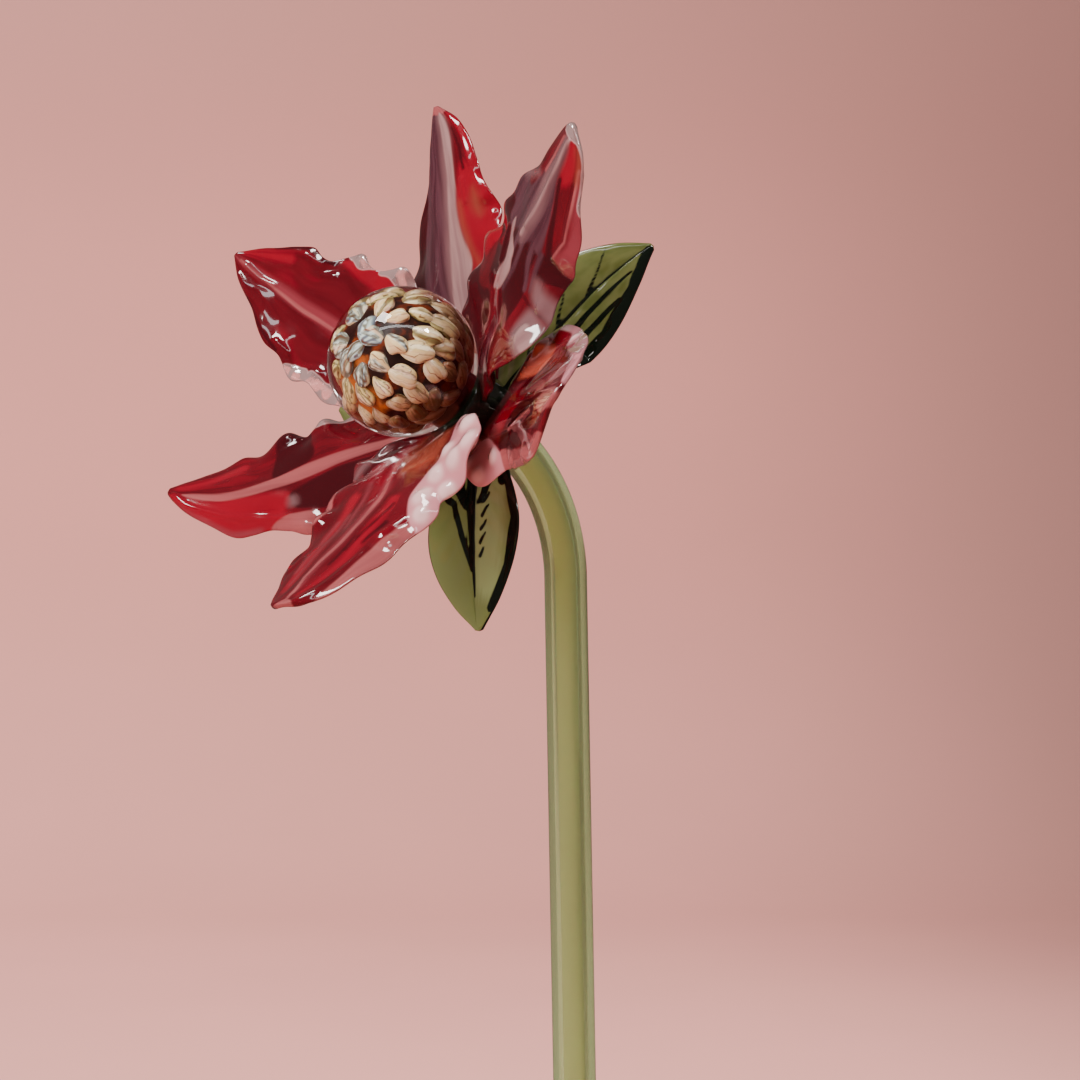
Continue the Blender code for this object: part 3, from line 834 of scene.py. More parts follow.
# Maroon is dark glass, and on petal_left also the ball's painted shadow
colour = laid_over(tree, painted("maroon", 1.2, 1.4), colour, MAROON)
colour = laid_over(tree, between(tree, threads, 0.60, 0.78, 0.0, 0.20), colour, MAROON)
fine = between(tree, sums(tree, "ADD", streaks, swing(tree, threads, 0.25)), 0.32, 0.68)
mauve = laid_over(tree, fine, DUSKY_MAUVE, MAUVE)
colour = laid_over(tree, painted("mauve", 1.2, 1.4), colour, mauve)
colour = laid_over(tree, painted("haze", 3.6, 1.4), colour, HAZE)
colour = laid_over(tree, painted("dusk", 2.4, 1.6), colour, DUSK)
rose = laid_over(tree, fine, DUSKY_ROSE, ROSE)
colour = laid_over(tree, painted("rose", 0.8, 0.8), colour, rose)
pale = laid_over(tree, fine, GREY_PALE, PALE)
colour = laid_over(tree, painted("pale", 1.0, 1.5), colour, pale)
colour = laid_over(tree, painted("ember", 4.5, 2.4), colour, EMBER)
# Painted light on petal_right's orange patch
colour = laid_over(tree, painted("coral", 2.4, 1.4), colour, LIT_CORAL)
# Painted light and shade on the milky beads: whiter on their tops, pinker in the creases between them
swell = sums(tree, "ADD", told(tree, "swell"), sums(tree, "MULTIPLY", clouds, 0.5))
opal = laid_over(tree, between(tree, swell, 0.30, 0.95), OPAL, OPAL_WHITE)
colour = laid_over(tree, painted("opal", 1.0, 0.6), colour, opal)
frill = painted("clear", 0.9, 0.4)
colour = laid_over(tree, frill, colour, CLEAR)
tree.links.new(colour, shader.inputs["Base Color"])
tree.links.new(between(tree, frill, 0.0, 1.0, 0.0, 0.80), shader.inputs["Transmission Weight"])
uneven(tree, shader, clouds, 0.04, 0.0006)

make_petal(
    "petal_upper_left", INNER_WHORL, 71.8, (62.9, 60.5, 56.3), (-2.4, -8.8), 0.0800,
    left=(10, 0.1, [(0, 7.5), (15, 14), (32, 18.5), (37, 18.8), (45, 16.8), (52, 18.6), (60, 15),
        (68, 14.3), (80, 9), (92, 5), (100, 0.6)]),
    right=(12, 0.55, [(0, 8), (15, 17), (28, 22), (36, 25.5), (41, 23), (49, 20.5), (56, 22.5),
        (61, 20), (66, 15.8), (70, 15.2), (75, 16), (80, 13.8), (87, 9.8), (93, 6.3), (100, 0.6)]),
    bulbs=[(55, -21.5, 2), (37, -24, 2.4), (51, 17, 2), (37, 17.5, 2.2)],
    ridges=[
        [(93, 0.5), (85, 0.9), (79, -0.3)],
        [(64, 12.3), (58, 13)],
        [(49, 13.2), (43, 13)],
        [(76, -13), (68, -13.7)],
        [(65, -11.3), (61, -12.5)],
        [(93, 4), (83, 7)],
    ],
    dusk=[
        [(99, 0.5), (85, 1.1), (70, 1.2), (50, 1.1), (15, 1.1), (15, -2.6), (50, -2.8), (70, -2.4),
         (85, -1.6)],
    ],
    rose=[((0.3, 0.6), [(96, 0.2), (85, 0.5), (70, 0.4), (50, 0.3), (20, 0.2)])],
    bright=[
        [(62, -17.5), (50, -16), (36, -17), (38, -24), (50, -21), (57, -19.5)],
        ((1, 1.6), [(97, -2.6), (88, -6.5), (80, -9.5)]),
    ],
    maroon=[
        ((0.5, 0.7), [(88, -9.6), (81, -13), (75, -15.2), (69, -14.6), (64, -16)]),
        ((0.3, 0.5), [(84, 7.2), (72, 12), (62, 14.4)]),
    ],
    clear=[
        [(62, -20.4), (57, -19.4), (53, -18.6), (50, -19.8), (47, -22), (50, -28), (60, -28)],
        [(46, -20.8), (40, -21), (34, -19.5), (26, -19), (24, -30), (42, -30)],
        [(57, 17), (54, 15), (50, 14.2), (46, 14.8), (45, 24), (55, 24)],
        [(46, 14.6), (42, 13.7), (38, 14.2), (32, 12.8), (22, 12.5), (22, 24), (44, 24)],
    ],
)
make_petal(
    "petal_top", OUTER_WHORL, 17.1, (52.3, 63.5, 69.5), (-2.5, -4.7), 0.0813,
    left=(-25, 0.3, [(0, 7), (20, 15), (35, 19), (46, 19), (52, 16.4), (58, 13.2), (63, 11.4),
        (69, 6.4), (76, 3.9), (90, 2), (100, 0.5)]),
    right=(-2, 0.8, [(0, 7), (20, 15), (40, 18), (56, 19), (64, 17.4), (71, 14.8), (76, 14),
        (81, 13), (88, 10.4), (94, 7), (100, 0.6)]),
    bulbs=[(62, -15.6, 1.8), (55, -17, 2)],
    ridges=[[(97, -4.5), (90, -8), (80, -11), (72, -13), (66, -14.6)], [(70, -9.4), (62, -10)]],
    maroon=[
        [(71, 3.6), (60, 5.2), (53, 8.8), (42, 9.8), (34, 6), (30, 15), (43, 22), (54, 20),
         (62, 14), (68, 9)],
        ((0.2, 0.5), [(90, -6), (82, -8.6), (74, -10)]),
    ],
    mauve=[
        [(99, 1.4), (90, 3), (80, 4.4), (70, 4.8), (62, 5.8), (52, 9.4), (42, 10.4), (30, 8),
         (10, 6), (10, -2), (40, -3), (60, -5), (80, -5), (95, -2.6)],
    ],
    haze=[
        [(96, -1), (88, -2.2), (78, -2.2), (60, -2.4), (50, -1.2), (40, 0), (25, 1.4), (10, 2),
         (10, -3), (42, -7.6), (60, -6), (80, -5.8), (92, -4.2)],
    ],
    pale=[
        [(96, -1.6), (88, -2.8), (78, -3.6), (65, -3.8), (55, -3.4), (47, -2.4), (38, -1.4),
         (28, 0), (15, 0.4), (12, -2), (26, -4.5), (36, -7), (42, -8.4), (50, -7.2), (60, -6.4),
         (70, -6.4), (80, -6.1), (90, -4.9), (95, -3.4)],
    ],
    rose=[[(103, 3), (97.5, 1.6), (96, -1.5), (97, -4), (103, -4)]],
    bright=[
        [(77, -9.4), (68, -7.2), (60, -6.6), (42, -8.6), (38, -10), (40, -22), (56, -22), (66, -18),
         (74, -13)],
        ((1.4, 2), [(96, -5.6), (90, -9.4), (82, -12.2), (74, -13.8)]),
    ],
    # Painted glow: orange where light shines through the thin glass of the right half
    ember=[
        ((0.1, 0.5), [(62, -7.4), (52, -8.2), (44, -9.6), (40, -10.5)]),
        [(66, -12.4), (62, -14), (56, -13.2), (60, -11.4)],
    ],
)
make_petal(
    "petal_upper_right", INNER_WHORL, -46.2, (46.0, 60.8, 65.1), (-1.0, 0.3), 0.0819,
    left=(2, 0.2, [(0, 8), (13, 15.5), (27, 17), (37, 17.5), (44, 18), (49, 15.4), (56, 16.6),
        (63, 13.3), (70, 12.4), (78, 7.8), (86, 6), (93, 4.4), (97, 3), (100, 0.8)]),
    right=(-22, 0.65, [(0, 9), (12, 17), (28, 23), (37, 27), (44, 24.5), (51, 22.6), (57, 21.2),
        (64, 22.8), (70, 22.2), (78, 18.2), (86, 13.8), (95, 8.8), (100, 1.2)]),
    bulbs=[(53.5, -18, 2.3), (46.5, -19.5, 2.4), (38, -21.5, 2.7), (45, 15, 2.2)],
    ridges=[
        [(90, -11), (80, -14.6), (70, -17.4), (63, -15.6)],
        [(95, -2.8), (80, -3.4), (64, -3)],
        [(56, 6.4), (52, 5), (46, 2.8)],
    ],
    bright=[
        [(96.5, -3.4), (92, -4.4), (87, -5.6), (83, -8), (86, -10), (91, -9.4), (94.5, -7.4),
         (96.5, -5.5)],
        [(50, 11.5), (44, 12), (39, 14), (42, 19), (50, 18)],
    ],
    maroon=[
        [(64, 9.8), (60, 6.6), (54, 3.8), (49, 1.8), (43, 2.4), (36, 3.4), (36, 7), (44, 8.4),
         (48, 12), (55, 20), (61, 19), (63, 14)],
        [(34, 15), (31, 9), (33, 5), (28, 2), (12, 0), (8, 20), (26, 20)],
        [(61, -12.4), (57, -11.6), (52, -12.5), (53, -16), (55, -20), (57, -26), (63, -26)],
        ((0.3, 0.5), [(44, -12), (43, -16), (44, -20), (46, -26)]),
        ((0.3, 0.5), [(64, -2.4), (55, -3), (46, -4.6)]),
        ((0.4, 0.6), [(60, -5.8), (50, -5.2), (42, -5.4)]),
        ((0.5, 1.4), [(84, -6.4), (75, -9.8), (66, -12.4), (60, -14.4)]),
        ((0.5, 0.4), [(84, 3.6), (79, 4.8)]),
        [(59, 2), (50, 3.4), (44, 2), (38, -1), (30, -6), (30, -12), (42, -11), (52, -9.8),
         (60, -10), (62, -5)],
    ],
    mauve=[
        [(96, -1.6), (88, -1), (83, 0.6), (79, 1.6), (73.5, 4.6), (75, 8.5), (73, 12.5), (70, 15),
         (65, 13), (63, 9.4), (58, 8.6), (57, 4), (60, 0), (57, -3), (61, -7), (59, -11),
         (64, -10.8), (70, -9.6), (78, -7.4), (86, -4.6), (93, -3.8)],
        ((0.7, 0.4), [(61, -1), (52, -0.8), (43, 0)]),
        ((0.9, 0.5), [(61, -7.6), (54, -8.6), (46, -10.4)]),
        ((0.6, 0.5), [(60, -4.2), (50, -4), (40, -3.2)]),
        ((0.9, 0.5), [(60, -11.4), (53, -11.8), (47, -12.6)]),
    ],
    haze=[
        [(97, -0.8), (88, -0.8), (80, 0.4), (72, -1), (62, -1.6), (58, -3.2), (68, -5.4),
         (80, -4.6), (92, -3.6)],
        ((0.6, 1), [(79, 3), (76.5, 6), (74, 9.5)]),
        [(52.5, -13), (51, -20), (53, -32), (45, -32), (44.5, -20), (46, -14)],
        [(42.5, -15.5), (43.5, -20), (42, -32), (33, -32), (33, -20), (36, -16.5)],
    ],
    dusk=[
        [(88, -12.4), (80, -15.2), (70, -18), (62, -16), (61, -28), (75, -28), (88, -20)],
        ((0.4, 0.8), [(33, -9), (22, -8), (12, -6)]),
    ],
    rose=[
        # The first is a painted highlight along the ridge near the right edge
        ((0.35, 0.45), [(91, -10.6), (80, -14.6), (70, -17.4), (63, -15.4)]),
        ((0.5, 0.5), [(95, -0.2), (88, -0.3), (82, 0.6)]),
    ],
    pale=[
        ((0.35, 0.5), [(97, -2.8), (88, -3.4), (78, -3.3), (68, -3), (60, -2)]),
        [(60, 5.8), (57.5, 5.6), (53, 2.6), (50, 1.2), (47, 0.8), (44, 1.8), (40, 2.8), (36, 3),
         (36.5, 1.1), (38, -0.9), (41, -2.2), (47, -2.9), (50, -1.9), (53, -1.2), (56, 2.1),
         (58.5, 4.1)],
        [(39, -19), (40, -24), (37, -30), (35, -22)],
    ],
    ember=[
        # The first is painted glow where light shines through the thin edge near the tip
        ((0.3, 0.5), [(95.5, -7.2), (93, -9.2), (88, -11.4)]),
        ((0.4, 0.6), [(49, 15.8), (45, 17.4), (40, 17)]),
    ],
    clear=[
        [(103, 4), (97.5, 1.6), (96.5, -2.5), (96.5, -6.5), (93, -10.4), (86, -13.8), (80, -17),
         (80, -24), (90, -20), (103, -8)],
    ],
)
make_petal(
    "petal_right", OUTER_WHORL, -106.8, (56.0, 61.5, 66.0), (2.6, 3.2), 0.0820,
    left=(-12, 0.45, [(0, 8), (15, 17), (28, 24), (38, 27.6), (45, 28), (55, 26.2), (67, 23.8),
        (80, 19.4), (90, 14), (97, 7.5), (100, 1.5)]),
    right=(-34, 0, [(0, 8), (12, 17), (22, 19.4), (30, 19), (37, 20.4), (44, 17.4), (50, 15.8),
        (58, 16.4), (70, 15.8), (80, 14.6), (88, 11), (94, 6.8), (100, 1)]),
    calm=0.25,
    bulbs=[(40, 25, 2.6), (36, -17.5, 2.3), (42, -12.5, 2), (28, -15.5, 2.3), (19, -15.5, 2.8),
        (57, -14.6, 2), (74, -13.5, 2), (30, 20.5, 2.4), (55, 24, 2.2)],
    ridges=[[(50, 20.5), (70, 17.2), (88, 14)], [(58, -6.5), (70, -4.6), (84, -2.6)]],
    bright=[
        [(92, 8), (85, 11.6), (75, 14.6), (62, 18), (50, 21), (44, 25.5), (38, 25), (40, 21),
         (50, 16.5), (65, 13.5), (78, 10)],
        [(68, 2.5), (60, 4), (47, 6), (38, 5), (40, -5), (50, -5.5), (60, -2)],
    ],
    maroon=[
        [(86, -1), (80, 0.6), (70, 0.2), (60, -2.2), (50, -5.5), (45, -9.5), (50, -11.2),
         (65, -11.2), (78, -9.8), (85, -5)],
        ((0.3, 0.4), [(90, -6), (80, -10.5), (70, -13.2)]),
    ],
    dusk=[
        [(90, 6), (80, 9), (68, 12.5), (55, 14), (50, 10), (60, 7), (74, 5.5)],
        [(44, 8.5), (30, 8.5), (10, 8), (10, 2), (30, 3), (42, 5)],
    ],
    rose=[
        [(88, -8.5), (78, -11.2), (60, -11.6), (46, -11.5), (46, -24), (80, -20), (92, -11)],
        [(86, 2.6), (74, 6.5), (60, 7), (50, 5.5), (56, 3), (70, 2.8)],
        [(100, 2), (90, 2), (88, -2), (93, -4), (100, -2)],
        ((0.3, 0.4), [(84, -3), (70, -4.6), (58, -6.5)]),
    ],
    pale=[[(37, 21.4), (30, 20.6), (18, 19), (15, 28), (30, 32), (37, 27)]],
    # Painted light on the orange patch, where little lamp light reaches
    coral=[[(50, 11.5), (47, 17), (41, 20.5), (33, 20.5), (27, 18), (28, 11), (38, 9.8)]],
    opal=[
        [(36, 26), (45, 25.6), (50, 22.4), (62, 19), (75, 15.8), (86, 12.6), (93, 8), (99, 4),
         (103, 6), (95, 17), (80, 26), (60, 34), (38, 36)],
        [(47, -12.5), (40, -8.8), (34, -7.8), (24, -9), (5, -10), (5, -28), (30, -28), (47, -24)],
    ],
)
make_petal(
    "petal_lower_left", INNER_WHORL, -165.2, (46.0, 67.3, 56.7), (-3.9, -17.6), 0.0815,
    left=(-20, 0.75, [(0, 9), (15, 21), (24, 28), (31, 31), (37, 27.5), (41, 26.6), (47, 22.2),
        (52, 22.8), (60, 18.6), (70, 17.8), (79, 16), (88, 12.8), (95, 8.4), (100, 1)]),
    right=(8, 0.35, [(0, 8), (13, 17), (23, 18.6), (33, 17.4), (42, 18.8), (47, 18.6), (52, 17.2),
        (57, 16.2), (64, 14.8), (70, 12.4), (76, 14.2), (81, 13), (91, 7.6), (97, 3.8), (100, 1)]),
    bulbs=[(53, 18.8, 2.1), (47, 16.6, 2.5), (44, 22.4, 2.3), (39, 17.8, 2.5), (35, 23.2, 2.5),
        (31, 19.4, 2.3), (31, 27.4, 2.6), (23, 24, 2.8), (16, 18.6, 2.6), (65, 15.2, 1.9),
        (46, -16.4, 2.2), (58, -14.6, 1.9)],
    ridges=[
        [(99, 5), (95, 7), (90, 8.8), (80, 9.8), (71, 10.5)],
        [(63, 11.4), (59, 12.2), (55, 14.4)],
        [(83, -9), (76, -9.4)],
    ],
    bright=[
        ((0.8, 1.6), [(94, 5.5), (82, 6.6), (66, 7.6), (48, 7)]),
        ((0.8, 1.4), [(93, -1.6), (80, -5), (62, -6.2), (46, -7.4)]),
    ],
    maroon=[
        ((0.3, 0.4), [(72, 5.5), (60, 7), (50, 8.2)]),
        ((0.3, 0.4), [(68, 8.5), (58, 10)]),
        ((0.25, 0.3), [(79, 4.2), (66, 5.2)]),
        ((0.3, 0.5), [(87, -8.8), (80, -12.4), (73, -12.4)]),
        [(5, -18), (8, -8), (22, -7.5), (32, -9), (28, -15)],
    ],
    dusk=[
        ((0.5, 1.6), [(93, 3), (86, 1.4), (78, 1.2), (70, 1.8), (60, 2.8), (50, 2.4), (40, 0.8),
            (30, -1.4), (18, -5)]),
        ((0.1, 0.4), [(90, -2.5), (75, -3.6), (55, -4.6)]),
        ((0.1, 0.3), [(84, -5.2), (70, -6.4), (58, -7.4)]),
        ((0.1, 0.5), [(62, -1.5), (48, -3.6), (38, -6)]),
        [(34, -5.5), (33, -10.5), (26, -10), (25, -6)],
    ],
    haze=[((0.8, 1.2), [(40, -16.2), (30, -15.6), (15, -14)])],
    rose=[
        ((0.5, 0.7), [(99, 3.8), (93, 2.8), (86, 0.8), (79, 0.9), (70, 2), (60, 3.2), (48, 2.4),
            (38, 0.6), (28, -1.8)]),
        [(99, 9), (93, 10.4), (80, 11.2), (72, 11.6), (62, 13.2), (57, 15.4), (57, 28), (75, 26),
         (90, 20), (102, 12)],
        [(103, 9), (97.5, 6.4), (96.5, 3), (103, 1)],
        [(59, -14.4), (50, -14.8), (42, -16.2), (38, -18), (42, -26), (60, -24)],
    ],
    ember=[[(36, 4), (35.5, 10), (33, 15), (26, 17), (5, 12), (5, -3), (20, -2), (30, 1.5)]],
    opal=[
        [(58, 17.8), (55, 15.4), (50, 13.6), (46, 12.5), (42, 13), (38, 14.8), (33, 17.4),
         (25, 18.6), (5, 17), (5, 34), (30, 38), (50, 34), (60, 24)],
    ],
)
make_petal(
    "petal_left", OUTER_WHORL, -232.5, (52.4, 71.4, 50.8), (-1.2, -23.0), 0.0837,
    left=(-8, 0.6, [(0, 8), (20, 16), (40, 20.3), (50, 21), (56, 17.6), (62, 15), (68, 15.2),
        (74, 14.8), (81, 11.6), (91, 6.6), (97, 2.8), (100, 0.5)]),
    right=(0, 0.15, [(0, 8), (15, 14), (30, 15.5), (37, 17), (43, 19), (50, 15.8), (57, 17.4),
        (64, 14), (69, 12.4), (76, 12.6), (85, 8.8), (94, 4.8), (100, 1)]),
    bulbs=[(57, -15.6, 1.8), (43, -17.4, 2.2), (50, 18.5, 2.2)],
    ridges=[
        [(97, 1.5), (92, 4.5), (87, 5.8), (80, 8), (70, 10.2), (62, 12), (55, 13.6)],
        [(54, -14.2), (46, -14.8)],
    ],
    bright=[
        [(98, 1.2), (90, 2.4), (80, 3.4), (68, 3.8), (58, 4.2), (54, 7), (57, 11), (55, 16),
         (70, 20), (85, 14), (97, 6)],
        ((0.8, 1.6), [(96, -1), (86, -3.6), (74, -8)]),
    ],
    maroon=[
        # The first is the ball's painted shadow, across this petal near its root
        [(61.5, -1.2), (61.5, -8), (61, -15), (59, -22), (49, -20), (47, -11), (47, -4.6),
         (55, -2.4)],
        [(55, 5.2), (54.5, 8.6), (53, 11.6), (49, 12.8), (40, 14), (30, 9), (22, 4), (34, 2.6),
         (45, 3)],
    ],
    haze=[((1, 1), [(54.5, 7.8), (54, 9.4)])],
    dusk=[((0.4, 0.9), [(96, 4.4), (86, 9.4), (75, 14.2), (66, 14.8)])],
    rose=[
        [(94, 1.3), (85, 2.8), (75, 3.5), (65, 3.3), (55, 2.4), (45, 1.6), (35, 1.4), (20, 1),
         (8, 1), (8, -2), (25, -2.2), (38, -3), (48, -3), (55, -1.8), (62, -0.6), (70, 0.4),
         (80, 1), (90, 0.6)],
        [(61, 13.8), (52, 13.8), (46, 15.6), (40, 28), (56, 28), (63, 19)],
    ],
    clear=[[(47, -16.4), (38, -15.6), (30, -13.6), (22, -12.4), (20, -24), (45, -28)]],
)

# Leaves
# Three leaves of olive glass behind the petals. A groove was pressed along each for the midrib
# and slanting ones for the veins. The grooves and the rim are painted near black: painted
# shade, where the thick glass looks dark.

LEAF_HEIGHT = -0.0066
LEAF_ROOT = 0.007
LEAF_THICKNESS = 0.0026
LEAF_EDGE = 0.0020
LEAF_GROOVE = 0.0030
MIDRIB_DEPTH = 0.0006
MIDRIB_REACH = 0.07
LEAF_VEINS = 6.0
LEAF_VEIN_SLANT = 1.6
LEAF_VEIN_DEPTH = 0.00025
LEAF_ROLL_OVER = 0.4
VEINS_END = 80
LEAF_ROWS = 150
LEAF_COLUMNS = 120
OLIVE_GLASS = (0.092, 0.112, 0.030)
SAGE_GLASS = (0.140, 0.158, 0.052)
MOSS_GLASS = (0.150, 0.212, 0.066)
LIT_STRAW = (0.270, 0.400, 0.155)
SHADE_BLACK = (0.003, 0.007, 0.004)


def make_leaf(name, heading, opening, sweep, length, roll, left, right, **marks):
    """A leaf. Each side is its edge, in hundredths of the length and mm from the midrib."""
    line = blade_line(opening, sweep, length, (LEAF_ROOT, 0.0, LEAF_HEIGHT))

    def half(s, u):
        return half_width(left, right, s, u)

    def surface(s, u):
        centre, sideways, normal = at(line, s)
        groove = LEAF_GROOVE * np.minimum(1.0, s * 4) * (1 - s * s)
        lift = groove * np.abs(u) - 0.4 * groove * u * u
        lift -= MIDRIB_DEPTH * np.exp(-((u / MIDRIB_REACH) ** 2)) * (1 - s)
        vein = np.cos(math.tau * (LEAF_VEINS * s - LEAF_VEIN_SLANT * np.abs(u) + 0.2))
        lift += LEAF_VEIN_DEPTH * vein * np.sin(math.pi * np.minimum(1.0, np.abs(u))) * (1 - s)
        lean = math.radians(roll) * np.minimum(1.0, s / LEAF_ROLL_OVER) ** 2
        over = sideways * np.cos(lean)[:, None] + normal * np.sin(lean)[:, None]
        proud = normal * np.cos(lean)[:, None] - sideways * np.sin(lean)[:, None]
        return centre + over * (u * half(s, u))[:, None] + proud * lift[:, None]

    def thickness(s, u):
        return (LEAF_THICKNESS + (LEAF_EDGE - LEAF_THICKNESS) * np.maximum(u * u, s**6)) / 2

    keep, kept = noted(pressed(surface, thickness, heading))
    mesh = round_mesh(name, LEAF_COLUMNS, LEAF_ROWS, keep)
    s, u = kept["s"], kept["u"]
    note_marks(mesh, s, u * half(s, u), u * STREAK_ACROSS, length, marks)
    write_value(mesh, "rim", np.abs(u))
    add_piece(name + "_olive", mesh, leaf_finish, "leaf_glass", name)


leaf_finish, tree, shader = new_finish("olive_leaf_glass", Roughness=0.04, IOR=1.5)
place = add_node(tree, "Attribute", {}, attribute_name="place").outputs["Vector"]
streaks = spots(tree, place, (90, 500, 1), 3.0)
clouds = spots(tree, place, (130, 130, 1), 2.0)
colour = laid_over(tree, between(tree, clouds, 0.35, 0.65), OLIVE_GLASS, SAGE_GLASS)
colour = laid_over(tree, painted("pale", 4.0, 4.0), colour, MOSS_GLASS)
# Painted light: a lighter straw green over one half of leaf_lower
colour = laid_over(tree, painted("haze", 6.0, 4.0), colour, LIT_STRAW)
# Painted shade: the vein grooves and the rim go near black, where the thick glass looks dark
rim = between(tree, told(tree, "rim"), 0.955, 0.985)
black = sums(tree, "MAXIMUM", painted("vein", 0.4, 0.6), rim)
tree.links.new(laid_over(tree, black, colour, SHADE_BLACK), shader.inputs["Base Color"])
tree.links.new(between(tree, black, 0.0, 1.0, 0.10, 0.0), shader.inputs["Transmission Weight"])
uneven(tree, shader, clouds, 0.10, 0.0008)


def leaf_veins(side, count, start, slant, reach, width):
    """Veins that leave the midrib on one side and slant forward to the edge."""
    veins = []
    for i in range(count):
        place = start + (VEINS_END - start) * i / count
        out = side * reach * math.sin(math.pi * min(0.95, 0.40 + 0.55 * place / 100))
        line = [(place, 0), (place + slant * 0.6, out * 0.5), (place + slant, out)]
        veins.append(((width, width * 0.4), line))
    return veins


make_leaf(
    "leaf_upper_right", -22.0, (94.0, 96.0, 106.0), (0.0, -20.0), 0.060, 40.0,
    left=[(0, 6.5), (20, 11.6), (45, 14.5), (65, 12.8), (85, 7.2), (100, 0.7)],
    right=[(0, 6.1), (20, 10.8), (45, 13.5), (65, 11.9), (85, 6.8), (100, 0.7)],
    vein=[
        ((1.6, 0.4), [(0, 0), (45, 0), (97, 0)]),
        ((1.5, 0.4), [(6, -2), (40, -4.2), (85, -3)]),
        ((1.7, 0.6), [(5, -4), (35, -7.6), (72, -7)]),
        # Painted shade: a broad dark band along one edge of the leaf
        ((2.4, 1.6), [(10, -8.5), (30, -11.5), (55, -12), (80, -7.4), (97, -1)]),
    ]
    + leaf_veins(1, 3, 20, 22, 9, 0.5),
)
make_leaf(
    "leaf_lower", -168.0, (98.0, 107.0, 112.0), (0.0, 0.0), 0.052, 0.0,
    left=[(0, 6.8), (20, 13), (45, 17), (65, 15), (85, 8.6), (100, 0.7)],
    right=[(0, 7.4), (20, 13.2), (45, 16.5), (65, 14.5), (85, 8.2), (100, 0.7)],
    vein=[
        ((2.6, 0.5), [(10, 0), (36, -0.4), (60, 0), (82, 0.3)]),
        ((1.1, 0.7), [(28, -8.6), (31, -6.6), (45, -4.4), (60, -1.8), (68, -0.6)]),
        ((2.4, 1), [(12, -5), (24, -4.8), (34, -2.4)]),
        ((2.8, 0.9), [(6, 6), (20, 7.4), (27, 5.4), (33, 3)]),
        ((3.2, 1.8), [(2, 9), (16, 11.8), (25, 11.6)]),
        # Painted shade: a broad dark band along one edge of the leaf
        ((1.7, 1.1), [(22, 13.4), (46, 16.2), (70, 12.8), (90, 5.4)]),
    ]
    + [((0.7, 0.45), [(34 + 7 * i, 4.6 - 0.4 * i), (30 + 7 * i, 7 - 0.6 * i)]) for i in range(5)],
    pale=[((16, 16), [(20, 0), (90, 0)])],
    # Painted light over this half of the leaf
    haze=[((6.5, 5), [(30, 7), (75, 5.5)])],
)
make_leaf(
    "leaf_behind", 85.0, (90.0, 88.0, 84.0), (0.0, 0.0), 0.057, 0.0,
    left=[(0, 5.9), (20, 10.4), (45, 13), (65, 11.4), (85, 6.5), (100, 0.7)],
    right=[(0, 5.9), (20, 10.4), (45, 13), (65, 11.4), (85, 6.5), (100, 0.7)],
    vein=[((1.6, 0.5), [(0, 0), (50, 0), (95, 0)])]
    + leaf_veins(1, 4, 10, 20, 9, 0.8)
    + leaf_veins(-1, 4, 12, 20, 9, 0.8),
)

# Floor and backdrop
# A sweep of smooth painted board in pale blush. It lies flat under the vase and curves up
# into a wall well behind it. Its colour carries painted light and shade: lighter low down,
# and darker to the right and towards the top.

SWEEP_FRONT = -3.0
SWEEP_WALL = 2.6
SWEEP_CURVE = 0.9
SWEEP_HEIGHT = 4.0
SWEEP_WIDTH = 9.0
SWEEP_STEPS = 24
BLUSH_BOARD = (0.710, 0.310, 0.275)
GREY_MOTTLE_AND_SHADE = (0.428, 0.222, 0.198)
LIT_BOARD = (0.810, 0.375, 0.335)

sweep = bpy.data.meshes.new("sweep")
bm = bmesh.new()
section = [(SWEEP_FRONT, 0.0)]
for turn in np.linspace(0.0, math.pi / 2, SWEEP_STEPS + 1):
    back = SWEEP_WALL - SWEEP_CURVE * (1 - math.sin(turn))
    section.append((back, SWEEP_CURVE * (1 - math.cos(turn))))
section.append((SWEEP_WALL, SWEEP_HEIGHT))
sides = (-SWEEP_WIDTH / 2, SWEEP_WIDTH / 2)
rows = [[bm.verts.new((x, y, z)) for x in sides] for y, z in section]
for low, high in zip(rows, rows[1:]):
    bm.faces.new((low[0], low[1], high[1], high[0]))
bm.to_mesh(sweep)
bm.free()
sweep.shade_smooth()
backdrop = bpy.data.objects.new("sweep", sweep)
bpy.context.scene.collection.objects.link(backdrop)
board, tree, shader = new_finish("blush_board", Roughness=0.85)
where = own_place(tree)
split = add_node(tree, "SeparateXYZ", {"Vector": where}).outputs
mottle = spots(tree, where, (3, 3, 3), 3.0)
# Painted light and shade: the board is lighter near the floor, darker up the wall and to the right
colour = laid_over(tree, between(tree, split["Z"], 0.40, 0.0), BLUSH_BOARD, LIT_BOARD)
colour = laid_over(tree, between(tree, split["Z"], 0.50, 1.15, 0.0, 0.75), colour, GREY_MOTTLE_AND_SHADE)
colour = laid_over(tree, between(tree, split["X"], 0.08, 0.80), colour, GREY_MOTTLE_AND_SHADE)
colour = laid_over(tree, between(tree, mottle, 0.3, 0.7, 0.0, 0.08), colour, GREY_MOTTLE_AND_SHADE)
tree.links.new(colour, shader.inputs["Base Color"])
sweep.materials.append(board)
backdrop.visible_glossy = False

# Light
# Soft studio light. A large panel at the left front does most. A small one on the left, a long
# narrow one and a bright one on the right, all high in front, draw the highlights, and three
# more fill the left side, the back and the wall.

HEAD = (-0.04, 0.0, 0.40)
LOW_WALL = (-0.2, 2.6, 0.6)
ROOM_BLUSH = (0.86, 0.62, 0.57)
ROOM_LIGHT = 0.15
ROOM_THROUGH_GLASS = 0.50


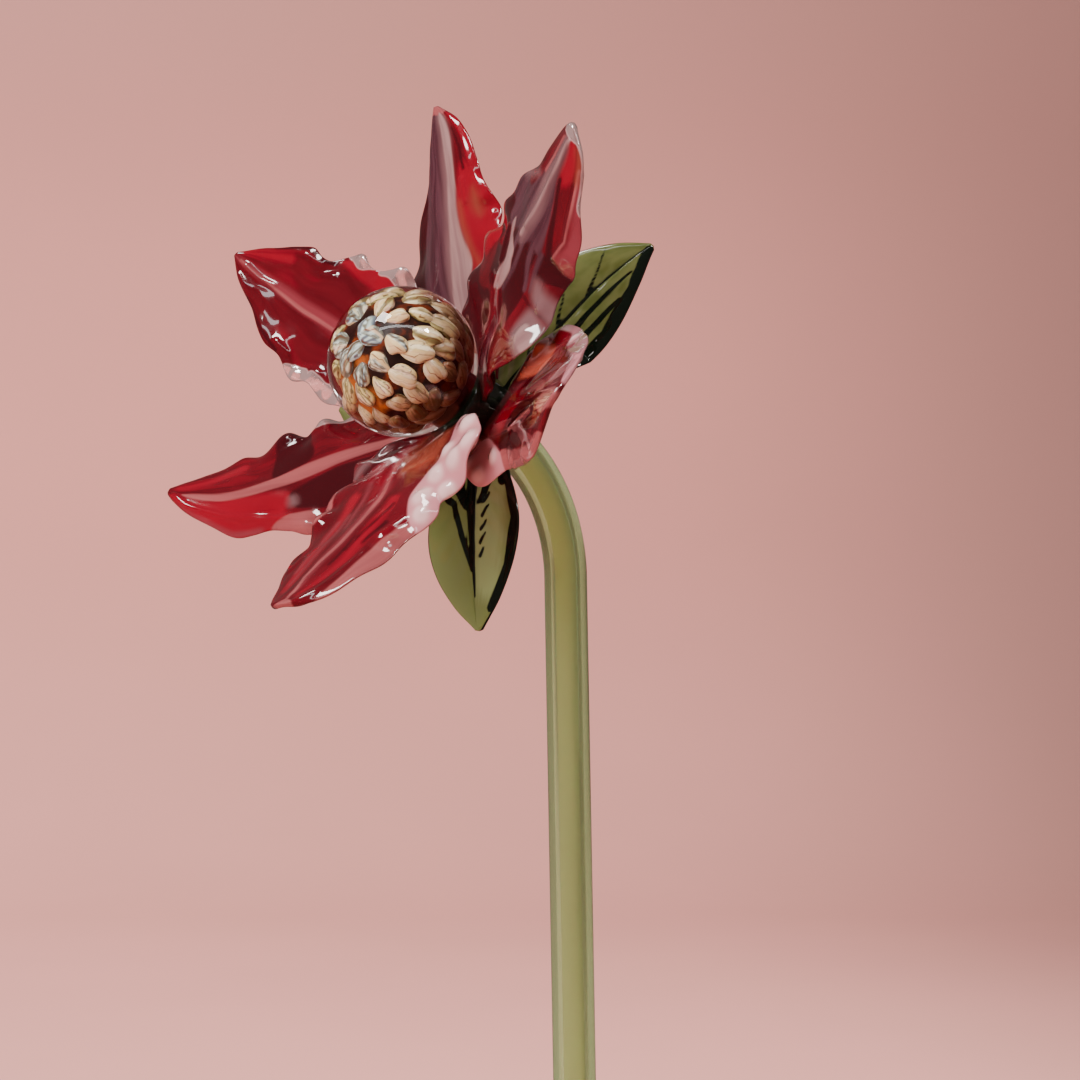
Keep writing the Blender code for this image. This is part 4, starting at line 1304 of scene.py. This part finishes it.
def add_panel(name, place, aim, size, power, colour, mirrored=True):
    """A lit panel, wide and high. One that isn't mirrored lights the glass without a reflection."""
    lamp = bpy.data.lights.new(name, "AREA")
    lamp.shape = "RECTANGLE"
    lamp.size, lamp.size_y = size
    lamp.energy = power
    lamp.color = colour
    panel = bpy.data.objects.new(name, lamp)
    panel.location = place
    panel.rotation_euler = (Vector(aim) - Vector(place)).to_track_quat("-Z", "Y").to_euler()
    panel.visible_camera = False
    panel.visible_glossy = mirrored
    panel.visible_transmission = mirrored
    bpy.context.scene.collection.objects.link(panel)


add_panel("high_panel", (-0.505, -0.418, 1.483), HEAD, (0.32, 0.32), 12.0, (1.0, 0.96, 0.92))
add_panel("window_panel", (-0.04, -0.87, 1.43), HEAD, (1.5, 0.10), 3.6, (0.93, 0.97, 1.0))
add_panel("bright_panel", (0.68, -0.67, 1.25), HEAD, (0.12, 0.12), 9.0, (1.0, 0.95, 0.90))
add_panel("soft_panel", (-0.90, -0.95, 0.70), HEAD, (0.9, 0.9), 20.0, (1.0, 0.95, 0.93), False)
add_panel("fill_panel", (-1.3, -0.5, 0.38), HEAD, (0.9, 0.4), 7.0, (1.0, 0.92, 0.90), False)
add_panel("back_panel", (0.55, 0.95, 0.95), HEAD, (0.5, 0.5), 9.0, (1.0, 0.93, 0.90), False)
add_panel("wall_panel", (-1.2, 0.9, 2.2), LOW_WALL, (1.2, 1.2), 81.0, (1.0, 0.95, 0.92), False)

world = bpy.data.worlds.new("studio")
bpy.context.scene.world = world
world.use_nodes = True
air = world.node_tree.nodes["Background"]
air.inputs["Color"].default_value = (*ROOM_BLUSH, 1.0)
through_glass = add_node(world.node_tree, "LightPath", {}).outputs["Is Transmission Ray"]
strength = between(world.node_tree, through_glass, 0.0, 1.0, ROOM_LIGHT, ROOM_THROUGH_GLASS)
world.node_tree.links.new(strength, air.inputs["Strength"])

# Camera
# A long lens looks level at the flower from the front, as the photograph does, so that the vase
# lies below the picture.

CAMERA_PLACE = (-0.0113, -0.714, 0.356)
CAMERA_LENS = 85.0
CAMERA_FILM = 36.0

camera = bpy.data.objects.new("camera", bpy.data.cameras.new("camera"))
camera.data.lens = CAMERA_LENS
camera.data.sensor_width = CAMERA_FILM
camera.data.clip_start = 0.02
camera.data.clip_end = 50.0
camera.location = CAMERA_PLACE
camera.rotation_euler = (math.pi / 2, 0.0, 0.0)
bpy.context.scene.collection.objects.link(camera)
bpy.context.scene.camera = camera
